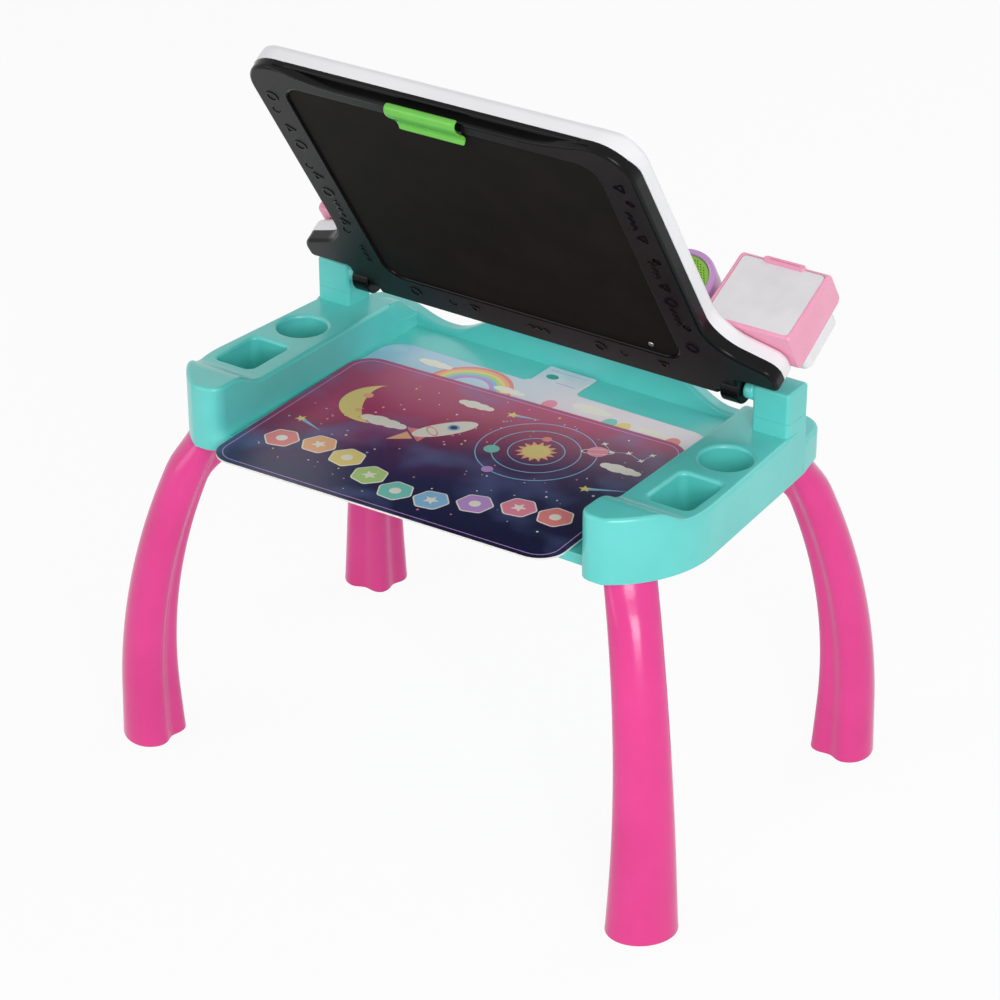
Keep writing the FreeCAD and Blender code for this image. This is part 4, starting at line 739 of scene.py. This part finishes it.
# Display box: rounded rose bezel with a leaning front, pale window and a slotted tab on its top edge
display = {"left": 189.0, "right": 288.0, "low": 22.4, "high": 109.0, "front": -74.0, "rear": -24.0,
           "lean": 8.0, "foot": 4, "crown": 7, "rounding": 3.4, "border": 4.0, "windowRounding": 5.0,
           "windowDepth": 2.2, "windowRim": 0.7, "paneGap": 0.3, "paneFace": -0.9, "paneBack": -3.2,
           "paneRim": 0.8, "tab": (46.0, 7.0, 2.2), "tabLap": 3.4, "tabRoot": -2.0, "tabRim": 1.4,
           "slot": (17.0, 0.7), "slotDepth": 1.2, "backStart": 2.9, "backRim": 3.0}
front, rear, low, high = display["front"], display["rear"], display["low"], display["high"]
foot, crown, border = display["foot"], display["crown"], display["border"]
tall = high - low
leanTurn = math.atan2(display["lean"], tall)
profile = [(front, low, foot), (rear, low, foot), (rear, high, crown),
           (front + display["lean"], high, crown)]
bm = plate(profile, display["left"], display["right"], 6)
roundOff(bm, sharpEdges(bm, 60), display["rounding"], 5)
bmesh.ops.transform(bm, matrix=sideways, verts=bm.verts[:])
centre = (display["left"] + display["right"]) / 2
windowPlace = Matrix.Translation((centre, front, low)) @ Matrix.Rotation(-leanTurn, 4, "X") @ upright
windowHalf = (display["right"] - display["left"]) / 2 - border
windowHigh = math.hypot(tall, display["lean"]) - border
window = slab(-windowHalf, windowHalf, border, windowHigh, display["windowRounding"])
cutter = rimCutter(window, -display["windowDepth"], 0, display["windowRim"], 6, 3)
bm = combine(bm, shaped(cutter, windowPlace))
wide, high, proud = display["tab"]
tabLow = windowHigh - display["tabLap"]
tab = plate(slab(-wide / 2, wide / 2, tabLow, tabLow + high, high / 2), display["tabRoot"], proud)
roundRim(tab, proud, display["tabRim"], 3)
slotHalf, slotThick = display["slot"]
slotMiddle = tabLow + high / 2
slot = slab(-slotHalf, slotHalf, slotMiddle - slotThick, slotMiddle + slotThick, slotThick)
tab = combine(tab, plate(slot, proud - display["slotDepth"], proud + 2, 3))
join(bm, shaped(tab, windowPlace))
settle(bm, "displayBezel", [rosePlastic], "lid", ["display_bezel"], lidPlace)
gap = display["paneGap"]
pane = slab(-windowHalf + gap, windowHalf - gap, border + gap, windowHigh - gap, display["windowRounding"])
bm = plate(pane, display["paneBack"], display["paneFace"])
roundRim(bm, display["paneFace"], display["paneRim"], 3)
bm = shaped(bm, windowPlace)
settle(bm, "displayWindow", [frostedAcrylic], "lid", ["display_panel"], lidPlace)
bm = copyNode("display_rear_shell", lidPlace)
outerEdges = [edge for edge in sharpEdges(bm) if middle(edge).y > display["backStart"]]
roundOff(bm, outerEdges, display["backRim"], 3)
settle(bm, "displayBack", [whiteAbs], "lid", ["display_rear_shell"], lidPlace)
print("display done")

# Speaker arch with stepped lips, and a perforated grille over a dark hollow
speaker = {"middle": 137.0, "half": 38.0, "low": 22.0, "high": 102.0, "front": -55.0, "rear": -31.0,
           "rounding": 2.5, "lips": [(2.0, 0.0), (0.8, 0.8), (1.0, 0.0), (0.6, -3.0)],
           "grilleHalf": 30.9, "grilleLow": 29.1, "grilleHigh": 94.9, "grille": (52.0, 53.4),
           "grilleRim": 0.6, "hole": 0.8, "pitch": 3.2, "columns": 10, "holeMargin": 3.0}
archPlace = Matrix.Translation((speaker["middle"], 0, 0)) @ upright


def archShape(half, low, high):
    return [(-half, low, 0), (half, low, 0), (half, high, half), (-half, high, half)]


arch = archShape(speaker["half"], speaker["low"], speaker["high"])
bm = plate(arch, -speaker["rear"], -speaker["front"], 16)
roundRim(bm, -speaker["front"], speaker["rounding"], 4)
front = max((item for item in bm.faces if item.normal.z > 0.9), key=lambda item: item.calc_area())
for wide, deep in speaker["lips"]:
    bmesh.ops.inset_region(bm, faces=[front], thickness=wide, depth=0, use_even_offset=True)
    bmesh.ops.translate(bm, vec=(0, 0, deep), verts=list(front.verts))
bmesh.ops.transform(bm, matrix=archPlace, verts=bm.verts[:])
front.material_index = 1
settle(bm, "speakerArch", [lilacAbs, blackAbs], "lid", ["speaker_bezel"], lidPlace)
low, high = speaker["grilleLow"], speaker["grilleHigh"]
bm = plate(archShape(speaker["grilleHalf"], low, high), *speaker["grille"], 14)
roundRim(bm, speaker["grille"][1], speaker["grilleRim"], 2)
holes = bmesh.new()
radius, columns, margin = speaker["hole"], speaker["columns"], speaker["holeMargin"]
reach = speaker["grilleHalf"] - margin
rowPitch = speaker["pitch"] * math.sqrt(0.75)
for row in range(int((high - low) / rowPitch) + 1):
    for column in range(-columns, columns + 1):
        x = (column + 0.5 * (row % 2)) * speaker["pitch"]
        z = low + margin + row * rowPitch
        overArch = max(0, z - (high - speaker["grilleHalf"]))
        if math.hypot(x, overArch) < reach and z < high - margin:
            hole = bmesh.new()
            bmesh.ops.create_cone(hole, cap_ends=True, segments=8, radius1=radius, radius2=radius, depth=8)
            join(holes, shaped(hole, Matrix.Translation((x, z, speaker["grille"][1]))))
bm = shaped(combine(bm, holes), archPlace)
settle(bm, "speakerMesh", [limePolypropylene], "lid", ["speaker_grille"], lidPlace)
print("speaker done")

# Handset: a bow with two deeper ends, rounded all over
handset = {"left": -281.0, "length": 160.0, "middle": -40.0, "width": 44.0, "low": 25.3, "high": 55.3,
           "end": 44.0, "arch": 12.0, "slope": 9.0, "shoulder": 10.0, "crown": 26.0, "rounding": 5.0}
length, end, arch = handset["length"], handset["end"], handset["arch"]
slope, crown = handset["slope"], handset["crown"]
tall = handset["high"] - handset["low"]
cheek = tall - handset["shoulder"]
profile = [(0, 0, 8), (end, 0, 6), (end + slope, arch, 9), (length - end - slope, arch, 9),
           (length - end, 0, 6), (length, 0, 8), (length, cheek, 16), (length - crown, tall, 24),
           (crown, tall, 24), (0, cheek, 16)]
bm = plate(profile, -handset["width"] / 2, handset["width"] / 2, 6)
roundOff(bm, sharpEdges(bm, 60), handset["rounding"], 5)
bm = shaped(bm, Matrix.Translation((handset["left"], handset["middle"], handset["low"])) @ upright)
settle(bm, "handsetShell", [rosePlastic], "handset", ["phone_handset"], lidPlace)
print("handset done")


# Pages: thick printed cards; every ink is a thin layer of its own on the card
def pageCard(node, printed, name, body):
    bm = copyNode(node)
    top = max(vert.co.z for vert in bm.verts)
    roundRim(bm, top, page["rim"], 2)
    for item in bm.faces:
        item.material_index = 0 if item.normal.z > 0.5 else 1
    settle(bm, name, [printed, cardCore], body, [node])


def band(radius, width, start=0.0, sweep=360.0):
    bm = bmesh.new()
    ends = [bm.verts.new((radius + step, 0, 0)) for step in (-width / 2, width / 2)]
    bm.edges.new(ends)
    bmesh.ops.spin(bm, geom=bm.verts[:] + bm.edges[:], cent=(0, 0, 0), axis=(0, 0, 1),
                   angle=math.radians(sweep), steps=max(int(sweep / 7), 6), use_merge=sweep == 360.0)
    bmesh.ops.transform(bm, matrix=turned(start), verts=bm.verts[:])
    return bm


def star(points, radius, inner):
    bm = disc(radius, points * 2)
    for vert in list(bm.verts)[::2]:
        vert.co *= inner
    return bm


def crescent(radius, bite):
    bm = disc(radius, 48)
    for vert in bm.verts:
        if vert.co.x > 0:
            vert.co.x *= -bite
    return bm


def stamp(target, shape, ink, x, y, turn=0.0, layer=1, scale=(1, 1)):
    # prints a flat shape: pulls it to a thin layer and puts it down
    bmesh.ops.transform(shape, matrix=Matrix.Diagonal((*scale, 1, 1)), verts=shape.verts[:])
    pull(shape, shape.faces[:], page["ink"])
    height = (layer - 1) * page["ink"] * page["inkLap"]
    place = Matrix.Translation((x, y, height)) @ turned(turn)
    join(target, shaped(shape, place, inkNames.index(ink)))


def clouds(target, spots, squash):
    # a cloud is a row of puffs
    puffs = [(-13, 7), (-4, 10), (7, 8.5), (15, 6)]
    for x, y, size in spots:
        for place, (offset, radius) in enumerate(puffs):
            stamp(target, disc(radius * size), "cream", x + offset * size, y, 0, 2 + place * 0.3, (1, squash))


page = {"place": (-8.0, -67.0, 362.58), "turn": 2.2, "half": (198.0, 135.0), "corner": 28.0, "rim": 0.5,
        "ink": 0.12, "inkLap": 0.7, "edge": 6.0, "edgeLine": 0.9, "tiles": 9, "tile": 19.5, "tileRim": 1.6,
        "tileRow": -76.0, "tileRun": 312.0, "tileWave": (20.0, 7.6, 0.6), "tileTurn": 0.6, "sun": (70, 46),
        "rocket": (-34, 34), "rocketTurn": -38, "rocketScale": 1.5, "stars": 110, "starMargin": 14.0,
        "starSize": (0.6, 1.5)}
pageCard("activity_page_top", nightPrint, "pageCardTop", "page_top")
bm = bmesh.new()
wide, deep = page["half"]
edge = page["edge"]
border = outline(slab(-wide + edge, wide - edge, -deep + edge, deep - edge, page["corner"] - edge))
stamp(bm, edgeBand(border, page["edgeLine"]), "lilac", 0, 0)
size, rim, run = page["tile"], page["tileRim"], page["tileRun"]
wave, bends, start = page["tileWave"]
hexagon = [(math.cos(math.radians(60 * k)), math.sin(math.radians(60 * k))) for k in range(6)]
for place in range(page["tiles"]):
    share = place / (page["tiles"] - 1)
    x = -run / 2 + run * share
    y = page["tileRow"] + wave * math.sin(share * bends + start)
    slope = math.degrees(math.atan2(wave * bends * math.cos(share * bends + start), run)) * page["tileTurn"]
    stamp(bm, outline([(a * size, b * size, 5) for a, b in hexagon], 0.0, 5), "cream", x, y, slope)
    tile = outline([(a * (size - rim), b * (size - rim), 4) for a, b in hexagon], 0.0, 5)
    stamp(bm, tile, inkNames[place % 8], x, y, slope, 2)
    centre = star(5, size * 0.42, 0.45) if place % 2 else disc(size * 0.3)
    stamp(bm, centre, "cream", x, y, slope + 18, 3)
sunX, sunY = page["sun"]
for radius in (28, 44, 60):
    stamp(bm, band(radius, 1.1), "sky", sunX, sunY)
stamp(bm, star(14, 21, 0.66), "peach", sunX, sunY, 0, 1)
stamp(bm, disc(13.5), "butter", sunX, sunY, 0, 2)
for radius, angle, size, ink in ((28, 100, 5.0, "coral"), (44, 205, 8.0, "mint"), (60, 32, 10.5, "rose"),
                                 (60, 250, 6.0, "lilac")):
    x = sunX + radius * math.cos(math.radians(angle))
    y = sunY + radius * math.sin(math.radians(angle))
    stamp(bm, disc(size), ink, x, y, 0, 2)
    if size > 8:
        stamp(bm, band(size * 1.5, 1.4), "cream", x, y, 25, 3, (1, 0.34))
stamp(bm, crescent(42, 0.42), "butter", -116, 48, 24)
stamp(bm, disc(5.4), "peach", -138, 58, 0, 2)
stamp(bm, disc(3.6), "peach", -128, 26, 0, 2)
clouds(bm, ((-92, 18, 1.3), (-34, 98, 1.0), (158, 58, 1.1)), 0.72)
rocketX, rocketY = page["rocket"]
rocketTurn, rocketScale = page["rocketTurn"], page["rocketScale"]
rocket = Matrix.Rotation(math.radians(rocketTurn), 3, "Z")
for shape, ink, along, layer, scale in (
        (star(3, 9, 0.5), "peach", -27, 1, (0.7, 1.2)),
        (outline([(-11, -9, 1), (11, -9, 1), (0, 8, 1)]), "coral", -11, 1, (1, 1)),
        (disc(10), "cream", 3, 2, (0.85, 2.3)), (disc(4.2), "sky", 9, 3, (1, 1)),
        (disc(2.6), "dusk", 9, 4, (1, 1)), (band(7.2, 1.6), "coral", -6, 3, (0.9, 0.4))):
    spot = rocket @ Vector((0, along * rocketScale, 0))
    scale = [part * rocketScale for part in scale]
    stamp(bm, shape, ink, rocketX + spot.x, rocketY + spot.y, rocketTurn, layer, scale)
for x, y, turn, length in ((150, 6, 205, 44), (-165, -20, 160, 34), (8, 100, 190, 30)):
    stamp(bm, outline([(0, -2.6, 0), (0, 2.6, 0), (length, 0, 0)]), "sky", x, y, turn - 180)
    stamp(bm, star(5, 6.5, 0.45), "butter", x, y, turn, 2)
dipper = [(118, 96), (132, 84), (148, 92), (166, 84), (170, 100)]
for (x1, y1), (x2, y2) in zip(dipper, dipper[1:]):
    stroke = math.hypot(x2 - x1, y2 - y1)
    stamp(bm, outline(slab(-stroke / 2, stroke / 2, -0.4, 0.4, 0)), "sky", (x1 + x2) / 2, (y1 + y2) / 2,
          math.degrees(math.atan2(y2 - y1, x2 - x1)))
for x, y in dipper:
    stamp(bm, star(4, 4.0, 0.4), "cream", x, y, 0, 2)
margin = page["starMargin"]
for place in range(page["stars"]):
    x = draws.uniform(-wide + margin, wide - margin)
    y = draws.uniform(-deep + margin, deep - margin)
    size = draws.uniform(*page["starSize"])
    stamp(bm, disc(size, 6), draws.choice(("cream", "sky", "butter", "rose")), x, y)
pagePlace = Matrix.Translation(page["place"]) @ turned(page["turn"])
settle(bm, "pagePrintTop", inks, "page_top", (), pagePlace)

under = {"place": (-10.0, -25.0, 360.28), "tab": 156.0, "bow": (-70, 86), "bowReach": 46.0, "stripe": 4.2}
pageCard("activity_page_second", skyPrint, "pageCardUnder", "page_second")
bm = bmesh.new()
stripe = under["stripe"]
for place, ink in enumerate(("coral", "peach", "butter", "leaf", "sky", "lilac")):
    stamp(bm, band(under["bowReach"] - stripe * place, stripe, 0, 180), ink, *under["bow"])
clouds(bm, ((-128, 112, 1.0), (-30, 104, 0.9), (62, 116, 1.1), (140, 108, 0.9)), 0.7)
for x, ink in ((20, "rose"), (92, "mint"), (108, "butter"), (166, "coral")):
    stamp(bm, disc(9), ink, x, 103, 0, 1, (0.85, 1.05))
stamp(bm, disc(6.5), "teal", -12, under["tab"], 0, 1, (1.1, 0.8))
stamp(bm, outline(slab(-22, 22, -0.5, 0.5, 0.4)), "sky", 0, under["tab"] + 13)
stamp(bm, outline(slab(-6, 18, -0.5, 0.5, 0.4)), "lilac", 4, under["tab"] - 9)
settle(bm, "pagePrintUnder", inks, "page_second", (), Matrix.Translation(under["place"]))
print("pages done")

# Finishes of the CAD nodes that show as they are
finishes = {
    "chalkboard_panel": chalkFilm, "hinge_pin_left": zincSteel, "hinge_pin_right": zincSteel,
    "hinge_arm_screws": zincSteel, "frame_screws": oiledSteel, "touch_sheet": touchFilm,
    "main_circuit_board": solderMask, "power_switch": deepRose, "clip_rod": zincSteel,
    "clip_spring": zincSteel, "display_circuit_board": solderMask, "battery_door": whiteAbs,
    "battery_door_screw": zincSteel, "batteries": cellWrap, "battery_contacts": zincSteel,
    "speaker_driver": blackAbs, "phone_ear_covers": deepRose, "phone_cradle": whiteAbs}
for node, material in finishes.items():
    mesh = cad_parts[node].data
    mesh.materials.clear()
    mesh.materials.append(material)

# Camera at the photograph's angle
shot = {"place": (1570.72, -2237.33, 1762.67), "down": 28.44, "turn": 35.0, "lens": 111.725, "sensor": 36.0}
camera = bpy.data.objects.new("camera", bpy.data.cameras.new("camera"))
camera.data.lens = shot["lens"]
camera.data.sensor_width = shot["sensor"]
camera.data.clip_end = 50
camera.location = Vector(shot["place"]) * metre
camera.rotation_euler = (math.radians(90 - shot["down"]), 0, math.radians(shot["turn"]))
scene.collection.objects.link(camera)
scene.camera = camera

# Floor and light
studio = {"floor": 12.0, "floorGlow": 0.92, "ambient": 0.45, "aim": (0, 0, 0.4)}
bm = bmesh.new()
bmesh.ops.create_grid(bm, x_segments=1, y_segments=1, size=studio["floor"])
mesh = bpy.data.meshes.new("floor")
bm.to_mesh(mesh)
bm.free()
floor = bpy.data.objects.new("floor", mesh)
scene.collection.objects.link(floor)
floor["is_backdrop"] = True


def backgroundRays(tree):
    # 1 for the rays that look at the background: straight, mirrored or through glass
    rays = addNode(tree, "LightPath").outputs
    share = rays["Is Camera Ray"]
    for kind in ("Is Glossy Ray", "Is Transmission Ray"):
        share = addNode(tree, "Math", {0: share, 1: rays[kind]}, operation="MAXIMUM").outputs["Value"]
    return share


paper = bpy.data.materials.new("paperFloor")
paper.use_nodes = True
tree = paper.node_tree
tree.nodes.clear()
matt = addNode(tree, "BsdfDiffuse", {"Color": linear("F4F4F4")})
glow = addNode(tree, "Emission", {"Color": linear("FFFFFF"), "Strength": 1.0})
share = addNode(tree, "Math", {0: backgroundRays(tree), 1: studio["floorGlow"]},
                operation="MULTIPLY").outputs["Value"]
both = addNode(tree, "MixShader", {
    "Fac": share, 1: matt.outputs["BSDF"], 2: glow.outputs["Emission"]})
addNode(tree, "OutputMaterial", {"Surface": both.outputs["Shader"]})
mesh.materials.append(paper)

world = bpy.data.worlds.new("studio")
scene.world = world
world.use_nodes = True
tree = world.node_tree
tree.nodes.clear()
level = addNode(tree, "MapRange", {
    "Value": backgroundRays(tree), "To Min": studio["ambient"], "To Max": 1.0}).outputs["Result"]
sky = addNode(tree, "Background", {"Color": linear("FFFFFF"), "Strength": level})
addNode(tree, "OutputWorld", {"Surface": sky.outputs["Background"]})

lamps = {"key": {"place": (2100, -2000, 1650), "size": 1300, "watts": 48.0},
         "fill": {"place": (-1700, -2200, 1300), "size": 1600, "watts": 14.0},
         "back": {"place": (600, 2200, 2300), "size": 1600, "watts": 12.0}}
for name, lamp in lamps.items():
    light = bpy.data.lights.new(name, "AREA")
    light.shape = "SQUARE"
    light.size = lamp["size"] * metre
    light.energy = lamp["watts"]
    piece = bpy.data.objects.new(name, light)
    piece.location = Vector(lamp["place"]) * metre
    aim = Vector(studio["aim"]) - piece.location
    piece.rotation_euler = aim.to_track_quat("-Z", "Y").to_euler()
    scene.collection.objects.link(piece)
print("studio done")

low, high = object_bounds()
